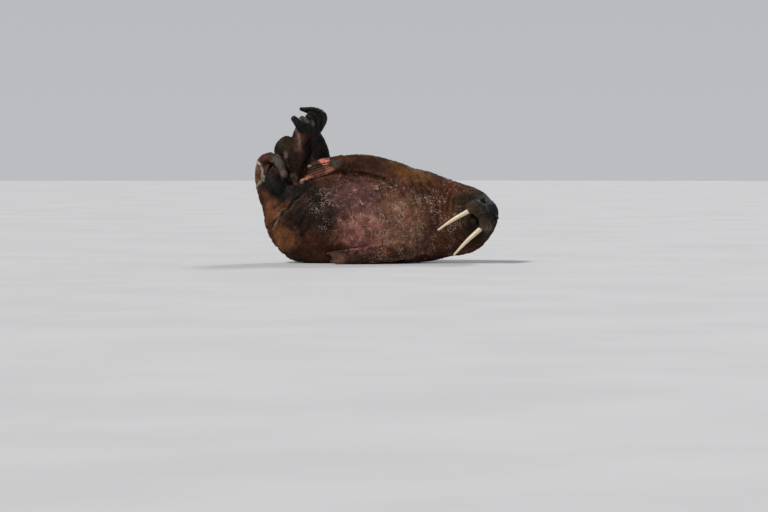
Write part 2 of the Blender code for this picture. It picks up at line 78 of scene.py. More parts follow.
# Sizes of the skin and coat.
CELL = 0.018
FACE_REACH = 0.26
HAND_MIDDLE, HAND_REACH = (-0.62, -0.18, 1.08), 0.26
FOOT_MIDDLE, FOOT_REACH = (-1.18, -0.05, 1.08), 0.25
FOOT_LOW, HIGH_FOOT_LOW = 0.85, 1.50
BY_EYE = 0.042
BARE_BY_EYE = 0.026
COAT_DEPTH = 0.005
COAT_TRIANGLES = 186_000
COAT_PIECES = 5
COAT_LOW = 0.012
BARE_SHARE = 0.93
FACE_EXTRA = 1.5
PATCH = 0.003
TUFT_LENGTH = (0.0085, 0.0130)
TUFT_WIDTH = (0.0008, 0.0013)
TUFT_LIFT = (0.10, 0.26)
LID = (0.036, 0.029, 0.0218)
EYE_SLIT = (0.0195, 0.0125, 0.026)
EYE_GAP = 0.0004
EYE_BULGE = 0.07
NECK_FOLDS, HIP_FOLDS, SHOULDER_FOLDS, BACK_FOLDS, SNOUT_FOLDS = 0.0120, 0.0100, 0.0080, 0.0140, 0.0036
BOSSES = 0.0046
WHISKERS = 640
WHISKER_PAD = (0.088, 0.064)
WHISKER_RADIUS = 0.0013
GOLDEN_ANGLE = 2.399963
FLOOR_RADIUS = 70.0
PHOTO_WIDTH, PHOTO_HEIGHT = 768, 512
PIXELS_PER_UNIT = 87
HORIZON, FLOOR_LINE, BODY_MIDDLE = 133, 263, 376
CAMERA_DISTANCE = 40.0

rng = np.random.default_rng(7)
Mass = namedtuple("Mass", "group distance low high blend")
Fan = namedtuple("Fan", "group first fifth blend short web arch nail_side nail")


# Vectors, places and masses

def norm(v):
    return np.linalg.norm(v, axis=-1)


def unit(v):
    v = np.asarray(v, float)
    return v / np.maximum(np.linalg.norm(v, axis=-1, keepdims=True), 1e-9)


def head_axes():
    """Rows: towards the snout, towards the crown, towards the head's left."""
    upright = np.array([math.cos(HEAD_ROLL), 0, math.sin(HEAD_ROLL)])
    to_belly = np.array([0, -1, 0])
    snout = to_belly * math.cos(HEAD_NOD) - upright * math.sin(HEAD_NOD)
    crown = upright * math.cos(HEAD_NOD) + to_belly * math.sin(HEAD_NOD)
    return np.array([snout, crown, np.cross(crown, snout)])


HEAD_AXES = head_axes()


def placed(p):
    """A drawn point as a real one."""
    return (np.asarray(p, float) + SHIFT) * SIZE


def drawn(p):
    return p / SIZE - SHIFT


def on_head(forward, up, left):
    return HEAD_AT + np.array([forward, up, left]) @ HEAD_AXES


def head_rows(*rows):
    """Rows of forward, up, left and radius on the head as rows of (x, y, z, radius)."""
    return [(*on_head(*row[:3]), row[3]) for row in rows]


def placed_rows(rows):
    return [(*placed(row[:3]), row[3] * SIZE) for row in rows]


def smooth_path(rows, steps):
    """Catmull-Rom curve through rows of (x, y, z, radius)."""
    rows = np.asarray(rows, float)
    if len(rows) == 2:
        return rows
    ends = np.vstack([2 * rows[0] - rows[1], rows, 2 * rows[-1] - rows[-2]])
    out = []
    for a, b, c, d in zip(ends, ends[1:], ends[2:], ends[3:]):
        for t in np.arange(steps) / steps:
            square = (2 * a - 5 * b + 4 * c - d) * t * t
            cube = (3 * b - a - 3 * c + d) * t**3
            out.append(0.5 * (2 * b + (c - a) * t + square + cube))
    return np.array(out + [rows[-1]])


def tube(group, rows, blend=0.05, axis=(0, 1, 0), flat=1.0, steps=4):
    """A tapered tube through rows of (x, y, z, radius). flat is its thickness along axis over its width."""
    path = smooth_path(placed_rows(rows), steps)
    centre, radius = path[:, :3], path[:, 3:]
    low, high = (centre - radius).min(0), (centre + radius).max(0)
    n = unit(axis)
    stretch = np.eye(3) + np.outer(n, n) * (1 / flat - 1)
    centre = centre @ stretch

    def distance(p):
        q = p @ stretch
        best = np.full(len(p), np.inf)
        for a, b, ra, rb in zip(centre, centre[1:], radius[:, 0], radius[1:, 0]):
            along = b - a
            t = np.clip((q - a) @ along / (along @ along), 0, 1)
            best = np.minimum(best, norm(q - a - t[:, None] * along) - ra - (rb - ra) * t)
        return best

    return Mass(group, distance, low, high, blend * SIZE)


def lump(group, at, radii, blend=0.05, axes=None):
    """An ellipsoid. axes has its own directions as rows."""
    at, radii = placed(at), np.asarray(radii, float) * SIZE
    axes = np.eye(3) if axes is None else axes

    def distance(p):
        q = (p - at) @ axes.T
        near = norm(q / radii)
        return near * (near - 1) / (norm(q / radii**2) + 1e-9)

    return Mass(group, distance, at - radii.max(), at + radii.max(), blend * SIZE)


def ruled(each, share):
    """Rows of a fan's toe or web, at a share of the way from its first toe to its fifth."""
    rows = np.array(each.first) + np.subtract(each.fifth, each.first) * share
    along = np.linspace(0, 1, len(rows))
    middle = 4 * share * (1 - share)
    rows[:, :3] += np.outer(along * middle, each.arch)
    return rows, along, middle


def cut_short(rows, along, reach):
    return np.array([np.interp(along * reach, along, column) for column in rows.T]).T


def fan(each):
    """Five toes with webs between them.

    short draws the middle toes back, web thins what lies between toes and arch bends the middle out.
    """
    strips = (TOES - 1) * (WEBS_BETWEEN + 1)
    masses = []
    for i in range(strips + 1):
        rows, along, middle = ruled(each, i / strips)
        is_toe = i % (WEBS_BETWEEN + 1) == 0
        shape = cut_short(rows, along, 1 - each.short * middle - (0 if is_toe else WEB_SHORT))
        thin = 1 if is_toe else each.web + (1 - each.web) * (1 - along) ** 2
        shape[:, 3] = rows[:, 3] * thin * (MIDDLE_TOES if is_toe and middle > 0 else 1)
        masses.append(tube(each.group, shape, each.blend, steps=3))
    return masses


# The animal's masses, part by part

TRUNK = [
    (1.03, 0.03, 0.530, 0.340),
    (0.72, 0.02, 0.515, 0.465),
    (0.40, 0.02, 0.530, 0.540),
    (0.05, 0.02, 0.535, 0.580),
    (-0.35, 0.02, 0.535, 0.585),
    (-0.72, 0.02, 0.500, 0.530),
    (-0.91, 0.03, 0.660, 0.400),
    (-1.04, 0.05, 0.850, 0.290),
    (-1.07, 0.07, 1.000, 0.190),
]

# Each fan: the rows of its first and fifth toe, then blend, short, web, arch, the side of the nails and
# their length.
RIGHT_HAND = Fan(
    "hands",
    [
        (-0.4, -0.165, 1.12, 0.07), (-0.52, -0.18, 1.07, 0.048), (-0.64, -0.187, 1.03, 0.036),
        (-0.75, -0.187, 0.99, 0.029), (-0.865, -0.18, 0.943, 0.02),
    ],
    [
        (-0.4, -0.15, 1.165, 0.08), (-0.5, -0.16, 1.155, 0.068), (-0.6, -0.165, 1.15, 0.056),
        (-0.68, -0.17, 1.135, 0.044), (-0.76, -0.18, 1.108, 0.028),
    ],
    0.010, 0.10, 0.38, (0, 0, 0), (0, -1, 0.35), 0.012,
)
LEFT_HAND = Fan(
    "hands",
    [
        (-0.04, -0.4, 0.135, 0.07), (-0.18, -0.415, 0.14, 0.05), (-0.3, -0.42, 0.14, 0.036),
        (-0.42, -0.42, 0.135, 0.027), (-0.545, -0.415, 0.12, 0.02),
    ],
    [
        (-0.04, -0.45, 0.07, 0.08), (-0.18, -0.49, 0.052, 0.06), (-0.3, -0.51, 0.042, 0.048),
        (-0.4, -0.52, 0.035, 0.04), (-0.5, -0.52, 0.028, 0.028),
    ],
    0.010, 0.08, 0.38, (0, 0, 0), (0, -0.5, 1), 0.012,
)
RIGHT_FOOT = Fan(
    "feet",
    [
        (-0.76, 0.04, 1.48, 0.1), (-0.665, 0.08, 1.6, 0.082), (-0.63, 0.11, 1.685, 0.066),
        (-0.715, 0.12, 1.74, 0.054), (-0.86, 0.11, 1.77, 0.028),
    ],
    [
        (-0.8, -0.03, 1.48, 0.095), (-0.84, -0.07, 1.54, 0.07), (-0.875, -0.1, 1.59, 0.058),
        (-0.905, -0.115, 1.625, 0.05), (-0.938, -0.12, 1.656, 0.043),
    ],
    0.014, 0.26, 0.48, (0.03, 0, 0), (-0.3, 0.9, 0.3), 0.024,
)
LEFT_FOOT = Fan(
    "feet",
    [
        (-1.3, -0.03, 1.05, 0.085), (-1.295, -0.08, 1.16, 0.072), (-1.205, -0.16, 1.215, 0.058),
        (-1.11, -0.22, 1.16, 0.058), (-1.05, -0.24, 1.025, 0.048),
    ],
    [
        (-1.3, 0.06, 1.05, 0.085), (-1.31, 0.11, 1.16, 0.068), (-1.24, 0.14, 1.21, 0.058),
        (-1.17, 0.14, 1.17, 0.055), (-1.13, 0.13, 1.08, 0.05),
    ],
    0.015, 0.18, 0.48, (0, 0, 0), (-0.5, -0.5, 0.6), 0.022,
)

TUSKS = {
    "right_tusk": [
        (1.160, -0.405, 0.662, 0.0295),
        (1.080, -0.440, 0.617, 0.0285),
        (0.890, -0.465, 0.514, 0.0220),
        (0.712, -0.415, 0.392, 0.0100),
    ],
    "left_tusk": [
        (1.262, -0.405, 0.480, 0.0295),
        (1.203, -0.440, 0.414, 0.0285),
        (1.041, -0.465, 0.268, 0.0220),
        (0.891, -0.415, 0.106, 0.0100),
    ],
}


def trunk_masses():
    return [
        tube("trunk", TRUNK, 0.02, flat=TRUNK_FLAT, steps=9),
        lump("trunk", (-0.10, -0.06, 0.42), (0.75, 0.37, 0.40), 0.15),
        lump("trunk", (0.50, 0.00, 0.62), (0.30, 0.28, 0.38), 0.15),
        lump("trunk", (-0.85, 0.02, 0.27), (0.22, 0.27, 0.22), 0.10),
        lump("trunk", (1.00, -0.01, 0.36), (0.25, 0.21, 0.25), 0.10),
    ]


def head_masses():
    """Skull, bridge of the nose, whisker pads, chin, jowls and brows, in the head's own directions."""
    neck = [*head_rows((-0.10, -0.05, 0, 0.172)), (1.125, -0.075, 0.520, 0.250), (0.98, 0.03, 0.50, 0.33)]
    chin = head_rows((-0.08, -0.12, 0, 0.105), (0.04, -0.135, 0, 0.078), (0.115, -0.135, 0, 0.052))
    masses = [tube("head", neck, 0.12), tube("head", chin, 0.03)]

    def part(forward, up, left, radii, blend):
        masses.append(lump("head", on_head(forward, up, left), radii, blend, HEAD_AXES))

    part(-0.070, -0.004, 0, (0.195, 0.142, 0.168), 0.05)
    part(0.060, 0.020, 0, (0.165, 0.090, 0.125), 0.05)
    part(0.120, -0.005, 0, (0.100, 0.070, 0.080), 0.03)
    part(0.190, 0.045, 0, (0.040, 0.036, 0.060), 0.03)
    for side in (1, -1):
        part(0.150, -0.012, 0.094 * side, (0.080, 0.080, 0.104), 0.030)
        part(0.050, 0.070, 0.112 * side, (0.050, 0.034, 0.032), 0.03)
        jowl = head_rows((0.10, -0.02, 0.105 * side, 0.080), (-0.08, -0.045, 0.115 * side, 0.100))
        masses.append(tube("head", jowl, 0.05))
    return masses


def foreflippers():
    right = [
        (0.42, -0.04, 0.860, 0.200),
        (0.25, -0.08, 0.985, 0.175),
        (0.00, -0.11, 1.090, 0.145),
        (-0.22, -0.13, 1.145, 0.115),
        (-0.42, -0.15, 1.150, 0.085),
    ]
    right_palm = [(-0.40, -0.10, 1.05, 0.065), (-0.62, -0.125, 1.035, 0.052), (-0.80, -0.125, 0.985, 0.040)]
    left = [(0.36, -0.20, 0.20, 0.16), (0.15, -0.36, 0.13, 0.12), (-0.05, -0.44, 0.105, 0.095)]
    left_palm = [(0.0, -0.36, 0.09, 0.10), (-0.25, -0.39, 0.07, 0.080), (-0.44, -0.40, 0.055, 0.060)]
    return [
        tube("arms", right),
        tube("arms", right_palm, 0.03),
        tube("arms", left),
        tube("arms", left_palm, 0.03),
        *fan(RIGHT_HAND),
        *fan(LEFT_HAND),
    ]


def hind_limbs():
    leg = [
        (-0.82, 0.06, 0.95, 0.30),
        (-0.80, 0.05, 1.18, 0.275),
        (-0.79, 0.03, 1.34, 0.215),
        (-0.80, 0.0, 1.50, 0.14),
    ]
    heel = [(-0.86, -0.08, 1.36, 0.13), (-0.90, -0.16, 1.18, 0.105), (-0.93, -0.20, 1.03, 0.055)]
    tendon = [(-0.92, -0.05, 1.50, 0.03), (-0.88, -0.13, 1.42, 0.035), (-0.85, -0.17, 1.33, 0.04)]
    root = [(-0.98, 0.10, 1.12, 0.20), (-1.03, 0.10, 1.30, 0.15)]
    tip = [(-1.03, 0.10, 1.30, 0.11), (-1.03, 0.10, 1.38, 0.08)]
    left = [
        (-1.04, 0.05, 0.66, 0.24),
        (-1.19, 0.04, 0.80, 0.165),
        (-1.28, 0.02, 0.95, 0.115),
        (-1.305, 0.0, 1.08, 0.09),
    ]
    sole = [(-1.04, -0.15, 0.75, 0.065), (-1.13, -0.15, 0.88, 0.115), (-1.22, -0.10, 1.05, 0.105)]
    return [
        tube("legs", leg, 0.05, flat=0.72),
        tube("legs", heel, 0.03),
        tube("legs", tendon, 0.03),
        tube("tail", root, 0.04, flat=0.6),
        tube("tail", tip, 0.04, flat=0.6),
        tube("legs", left, 0.05),
        lump("feet", (-1.15, 0.02, 1.06), (0.12, 0.16, 0.12), 0.05),
        tube("feet", sole, 0.03, axis=(0.5, -0.85, 0), flat=0.8),
        *fan(RIGHT_FOOT),
        *fan(LEFT_FOOT),
    ]


FLESH = trunk_masses() + head_masses() + foreflippers() + hind_limbs()


def smooth_min(a, b, blend):
    h = np.clip(1 - np.abs(a - b) / blend, 0, 1)
    return np.minimum(a, b) - h * h * blend / 4


def near_mass(p, mass, margin):
    return np.all((p > mass.low - margin) & (p < mass.high + margin), axis=1)


def joined(f, p, mass, margin=0.03, sign=1):
    """Adds a mass to the field's values, or cuts it out where sign is -1."""
    near = near_mass(p, mass, margin)
    if near.any():
        f[near] = sign * smooth_min(sign * f[near], mass.distance(p[near]), mass.blend)


def flesh_field(p):
    """Negative inside the flesh, before the openings of the face."""
    f = np.full(len(p), 1.0)
    for mass in FLESH:
        joined(f, p, mass, mass.blend + 0.05)
    return f


def away_from(p, group):
    """Distance from the nearest mass of a group."""
    f = np.full(len(p), 1.0)
    for mass in FLESH:
        if mass.group == group:
            near = near_mass(p, mass, 0.05)
            f[near] = np.minimum(f[near], mass.distance(p[near]))
    return f


def under_coat(p):
    """The flesh field, drawn in by the coat's depth."""
    return flesh_field(p) + COAT_DEPTH


def march(inside_of, start, way, reach, step):
    """Where a line first meets the inside of a field."""
    line = start + np.arange(0, reach, step)[:, None] * way
    inside = np.nonzero(inside_of(line) <= 0)[0]
    return line[inside[0]] if len(inside) else None


def eye_centre(side):
    """The middle of the eyeball, sunk where a line from beside the head meets the flesh."""
    out = side * HEAD_AXES[2]
    beside = placed(on_head(EYE_FORWARD, EYE_HIGH, side * 0.30))
    return march(flesh_field, beside, -out * SIZE, 0.30, 0.0005) - EYE_SUNK * out


EYES = {side: eye_centre(side) for side in (-1, 1)}
LID_TILT = np.array([[0.94, 0.34, 0], [-0.34, 0.94, 0], [0, 0, 1]])


def lids():
    """A soft mound over each eyeball."""
    return [lump("head", drawn(centre), LID, 0.016, LID_TILT @ HEAD_AXES) for centre in EYES.values()]


def lips():
    """A sleeve of lip round the root of each tusk, and the lower lip."""
    masses = [lump("head", on_head(0.085, -0.137, 0), (0.068, 0.044, 0.082), 0.03, HEAD_AXES)]
    for rows in TUSKS.values():
        line = smooth_path(rows, 40)[:, :3]
        leaves = np.argmax(flesh_field(placed(line)) > 0)
        out = unit(line[leaves + 1] - line[leaves])
        root, rim = line[leaves] - 0.030 * out, line[leaves] + 0.004 * out
        masses.append(tube("head", [(*root, 0.046), (*rim, 0.035)], 0.024))
    return masses


# Rows of a nostril: how high and how far out on the snout, and its radius.
NOSTRIL = [(0.034, 0.015, 0.008), (0.050, 0.020, 0.014), (0.066, 0.034, 0.013), (0.073, 0.052, 0.008)]


def openings():
    """What is cut from the face: the slits of the eyes, the nostrils, the mouth and the ears."""
    cuts = []
    for side, centre in EYES.items():
        at = drawn(centre) + HEAD_AXES[2] * side * 0.014
        cuts.append(lump("cut", at, EYE_SLIT, 0.004, LID_TILT @ HEAD_AXES))
        nostril = []
        for up, out, radius in NOSTRIL:
            before = placed(on_head(0.36, up, out * side))
            end = march(under_coat, before, -HEAD_AXES[0] * SIZE, 0.36, 0.001)
            nostril.append((*(drawn(end) - 0.003 * HEAD_AXES[0]), radius))
        cuts.append(tube("nostril", nostril, 0.006))
        ear = head_rows((-0.075, 0.030, 0.178 * side, 0.007), (-0.085, 0.012, 0.182 * side, 0.005))
        cuts.append(tube("cut", ear, 0.012))
    corner, middle = (0.060, -0.098, 0.135, 0.008), (0.120, -0.092, 0.070, 0.010)
    other_side = np.array([1, 1, -1, 1])
    mouth = head_rows(corner, middle, (0.165, -0.090, 0, 0.010), middle * other_side, corner * other_side)
    cuts.append(tube("cut", mouth, 0.020))
    return cuts


ADDED, CUTS = lids() + lips(), openings()


def field(p):
    """Negative inside the skin. It lies in from the solids by the coat's depth, and flat on the floor."""
    f = under_coat(p)
    for mass in ADDED:
        joined(f, p, mass)
    for mass in CUTS:
        joined(f, p, mass, sign=-1)
    return -smooth_min(-f, p[:, 2] - 0.0005, FLOOR_BLEND)


# Meshing

def grid_values(low, counts, step):
    """The field on a grid, worked out finely only near the surface."""
    ratio = 3
    coarse_counts = counts // ratio + 1
    coarse = np.indices(coarse_counts).reshape(3, -1).T * step * ratio + low + step
    rough = field(coarse).reshape(coarse_counts)
    for axis in range(3):
        rough = np.repeat(rough, ratio, axis)
    values = rough[: counts[0], : counts[1], : counts[2]].copy()
    close = np.argwhere(np.abs(values) < 2 * step * ratio)
    values[tuple(close.T)] = field(close * step + low)
    return values


def without_checkers(values, step):
    """Fills the corners where two surfaces would share an edge: crevices thinner than the grid."""
    halves = (slice(None, -1), slice(1, None))
    for axes in ((0, 1), (1, 2), (2, 0)) * 3:
        corners = []
        for ends in ((0, 0), (0, 1), (1, 1), (1, 0)):
            where = [slice(None)] * 3
            for axis, end in zip(axes, ends):
                where[axis] = halves[end]
            corners.append(values[tuple(where)])
        a, b, c, d = (corner < 0 for corner in corners)
        checker = (a == c) & (b == d) & (a != b)
        for corner in corners:
            corner[checker & (corner >= 0)] = -0.1 * step
    return values


def surface_nets(values, low, step):
    """Points in the cells that the surface crosses, and a quad round each grid edge that it crosses."""
    counts = np.array(values.shape)
    cells = tuple(counts - 1)
    total, hits = np.zeros(cells + (3,)), np.zeros(cells)
    for axis in range(3):
        u, v = (axis + 1) % 3, (axis + 2) % 3
        for du, dv in ((0, 0), (0, 1), (1, 0), (1, 1)):
            start = [slice(0, n - 1) for n in counts]
            start[u] = slice(du, du + counts[u] - 1)
            start[v] = slice(dv, dv + counts[v] - 1)
            end = list(start)
            end[axis] = slice(1, counts[axis])
            a, b = values[tuple(start)], values[tuple(end)]
            crossed = (a < 0) != (b < 0)
            share = np.zeros(cells + (3,))
            share[..., axis] = a / np.where(crossed, a - b, 1)
            share[..., u], share[..., v] = du, dv
            total += share * crossed[..., None]
            hits += crossed
    used = hits > 0
    number = np.full(cells, -1)
    number[used] = np.arange(used.sum())
    points = low + step * (np.argwhere(used) + total[used] / hits[used][:, None])
    quads = []
    for axis in range(3):
        u, v = (axis + 1) % 3, (axis + 2) % 3
        start = [slice(1, n - 1) for n in counts]
        start[axis] = slice(0, counts[axis] - 1)
        end = list(start)
        end[axis] = slice(1, counts[axis])
        a, b = values[tuple(start)] < 0, values[tuple(end)] < 0
        for leaves, turn in ((a & ~b, 1), (b & ~a, -1)):
            where = np.argwhere(leaves)
            where[:, [u, v]] += 1
            ring = []
            for du, dv in ((-1, -1), (0, -1), (0, 0), (-1, 0)):
                cell = where.copy()
                cell[:, u] += du
                cell[:, v] += dv
                ring.append(number[tuple(cell.T)])
            quads.append(np.stack(ring[::turn], 1))
    return points, np.concatenate(quads)


def onto_surface(points, step, rounds=1, h=0.0015):
    """Moves points down the field's slope until they lie on the skin."""
    corners = np.array([(1, -1, -1), (-1, -1, 1), (-1, 1, -1), (1, 1, 1)], float) * h
    for _ in range(rounds):
        samples = [field(points + corner) for corner in corners]
        slope = sum(np.outer(value, corner) for value, corner in zip(samples, corners)) / (4 * h * h)
        level = sum(samples) / 4
        steep = np.maximum((slope**2).sum(1), 0.05)[:, None]
        points = points - np.clip(level, -step, step)[:, None] * slope / steep
    return points


def in_scene(name, data):
    obj = bpy.data.objects.new(name, data)
    bpy.context.scene.collection.objects.link(obj)
    return obj


def unwrapped(points, quads):
    """Texture places of each quad's corners, from an unwrap of the coarse skin."""
    mesh = mesh_from("unwrap", points, quads.tolist())
    obj = in_scene("unwrap", mesh)
    bpy.context.view_layer.objects.active = obj
    obj.select_set(True)
    bpy.ops.object.mode_set(mode="EDIT")
    bpy.ops.mesh.select_all(action="SELECT")
    bpy.ops.uv.smart_project(angle_limit=math.radians(66), island_margin=0.003)
    bpy.ops.object.mode_set(mode="OBJECT")
    places = np.empty(len(mesh.loops) * 2, np.float32)
    mesh.uv_layers.active.data.foreach_get("uv", places)
    bpy.data.objects.remove(obj)
    bpy.data.meshes.remove(mesh)
    return places.reshape(-1, 4, 2).astype(float)


def split(points, quads, places, chosen):
    """Cuts the chosen quads in four. Returns the new mesh, and the neighbours that gain corners."""
    old_count = len(points)
    pairs = np.sort(np.stack([quads[chosen], np.roll(quads[chosen], -1, 1)], 2).reshape(-1, 2), 1)
    key = pairs[:, 0] * old_count + pairs[:, 1]
    edges, first, index = np.unique(key, return_index=True, return_inverse=True)
    ends = pairs[first]
    middles = points[ends].mean(1)
    centres = points[quads[chosen]].mean(1)
    mid = index.reshape(-1, 4) + old_count
    centre = np.arange(len(centres)) + old_count + len(middles)
    uv_mid = (places[chosen] + np.roll(places[chosen], -1, 1)) / 2
    uv_centre = places[chosen].mean(1)
    new_quads, new_places = [], []
    for k in range(4):
        new_quads.append(np.stack([quads[chosen][:, k], mid[:, k], centre, mid[:, k - 1]], 1))
        new_places.append(np.stack([places[chosen][:, k], uv_mid[:, k], uv_centre, uv_mid[:, k - 1]], 1))
    points = np.concatenate([points, middles, centres])
    kept, kept_places = quads[~chosen], places[~chosen]
    sides = np.sort(np.stack([kept, np.roll(kept, -1, 1)], 2), 2)
    side_key = sides[..., 0] * old_count + sides[..., 1]
    where = np.searchsorted(edges, side_key).clip(0, len(edges) - 1)
    cut = edges[where] == side_key
    odd = cut.any(1)
    corners, uv = kept[odd], kept_places[odd]
    corners = np.stack([corners, np.where(cut[odd], where[odd] + old_count, -1)], 2).reshape(-1, 8)
    uv = np.stack([uv, (uv + np.roll(uv, -1, 1)) / 2], 2).reshape(-1, 8, 2)
    rings = [(ring[ring >= 0].tolist(), place[ring >= 0]) for ring, place in zip(corners, uv)]
    quads = np.concatenate([kept[~odd]] + new_quads)
    places = np.concatenate([kept_places[~odd]] + new_places)
    return points, quads, places, rings


def vertex_normals(points, quads):
    a, b, c, d = (points[quads[:, k]] for k in range(4))
    across = np.cross(c - a, d - b)
    total = np.zeros_like(points)
    for k in range(4):
        np.add.at(total, quads[:, k], across)
    return unit(total)


# Shapes on the surface

def cell_hash(c):
    h = (c[:, 0] * 73856093) ^ (c[:, 1] * 19349663) ^ (c[:, 2] * 83492791)
    return (h ^ (h >> 13)) * 1274126177 & 0x7FFFFFFF


def noise(p, size, seed=0):
    """Smooth random values from -1 to 1, the same at the same place."""
    q = p / np.asarray(size, float) + 31.7 * (seed + 1)
    cell = np.floor(q).astype(np.int64)
    f = q - cell
    f = f * f * (3 - 2 * f)
    total = np.zeros(len(p))
    for corner in np.ndindex(2, 2, 2):
        h = cell_hash(cell + corner)
        h = (h ^ (h >> 15)) & 0xFFFFFF
        weight = np.prod(np.where(corner, f, 1 - f), axis=1)
        total += weight * (h / 0x7FFFFF - 1)
    return total


def smooth_step(low, high, value):
    t = np.clip((value - low) / (high - low), 0, 1)
    return t * t * (3 - 2 * t)


def pimples(p, size, radius):
    """Low round bosses at random places, one or none to a cell. 1 at a boss's top."""
    q = p / size
    cell = np.floor(q).astype(np.int64)
    best = np.zeros(len(p))
    for corner in np.ndindex(3, 3, 3):
        c = cell + np.array(corner) - 1
        h = cell_hash(c)
        spot = np.stack([(h >> s & 1023) / 1023 for s in (0, 8, 16)], 1)
        grown = 0.5 + (h >> 21 & 255) / 255
        away = norm(q - c - spot) * size / (radius * grown)
        best = np.maximum(best, np.clip(1 - away, 0, 1) * grown)
    return best * best * (3 - 2 * np.minimum(best, 1))


def along_line(p, line):
    """Distance, seen from the belly side, from a line of drawn (x, z) points."""
    q = p[:, [0, 2]]
    best = np.full(len(p), np.inf)
    for a, b in zip(np.asarray(line, float), np.asarray(line[1:], float)):
        t = np.clip((q - a) @ (b - a) / ((b - a) @ (b - a)), 0, 1)
        best = np.minimum(best, norm(q - a - t[:, None] * (b - a)))
    return best


def in_oval(p, at, radii, turn=0.0, ragged=0.0):
    """1 in the middle of an oval drawn on the belly side, down to 0 outside it."""
    c, s = math.cos(math.radians(turn)), math.sin(math.radians(turn))
    x, z = p[:, 0] - at[0], p[:, 2] - at[1]
    far = np.hypot((x * c + z * s) / radii[0], (-x * s + z * c) / radii[1])
    return 1 - smooth_step(0.55, 1.15, far + ragged)


def bell(value, width):
    return np.exp(-((value / width) ** 2))


def folds(value, spacing, width, rise=0.2):
    """Lines a spacing apart, 1 deep, that rise between them. width is a share of the spacing."""
    return rise - bell((value / spacing) % 1 - 0.5, width)


def toe_grooves(q):
    """Grooves between the toes of all four flippers, found on the sheet that each fan is ruled over."""
    height = np.zeros(len(q))
    across, along = (grid.ravel() for grid in np.meshgrid(np.linspace(0, 1, 33), np.linspace(0, 1, 31)))
    for each in (RIGHT_HAND, LEFT_HAND, RIGHT_FOOT, LEFT_FOOT):
        steps = np.linspace(0, 1, len(each.first))
        ends = [np.array([np.interp(along, steps, column) for column in zip(*toe)]).T for toe in each[1:3]]
        sheet = ends[0] + (ends[1] - ends[0]) * across[:, None]
        radius = sheet[:, 3]
        sheet = sheet[:, :3] + np.outer(along * 4 * across * (1 - across), each.arch)
        near = np.nonzero(np.all((q > sheet.min(0) - 0.09) & (q < sheet.max(0) + 0.09), axis=1))[0]
        for some in np.array_split(near, len(near) // 4000 + 1):
            far = (q[some] ** 2).sum(1)[:, None] + (sheet**2).sum(1) - 2 * q[some] @ sheet.T
            close = far.min(1, keepdims=True)
            weight = np.exp(-(far - close) / 0.009**2)
            weight /= weight.sum(1, keepdims=True)
            toe, reach, thick = weight @ across, weight @ along, weight @ radius
            groove = bell((toe * (TOES - 1)) % 1 - 0.5, 0.17)
            fade = smooth_step(0.10, 0.40, reach) * (1 - smooth_step(0.80, 0.97, reach))
            fade *= np.sqrt(np.maximum(close[:, 0], 0)) < thick * 1.8
            height[some] += 0.34 * SIZE * thick * fade * (0.22 - groove)
    return height


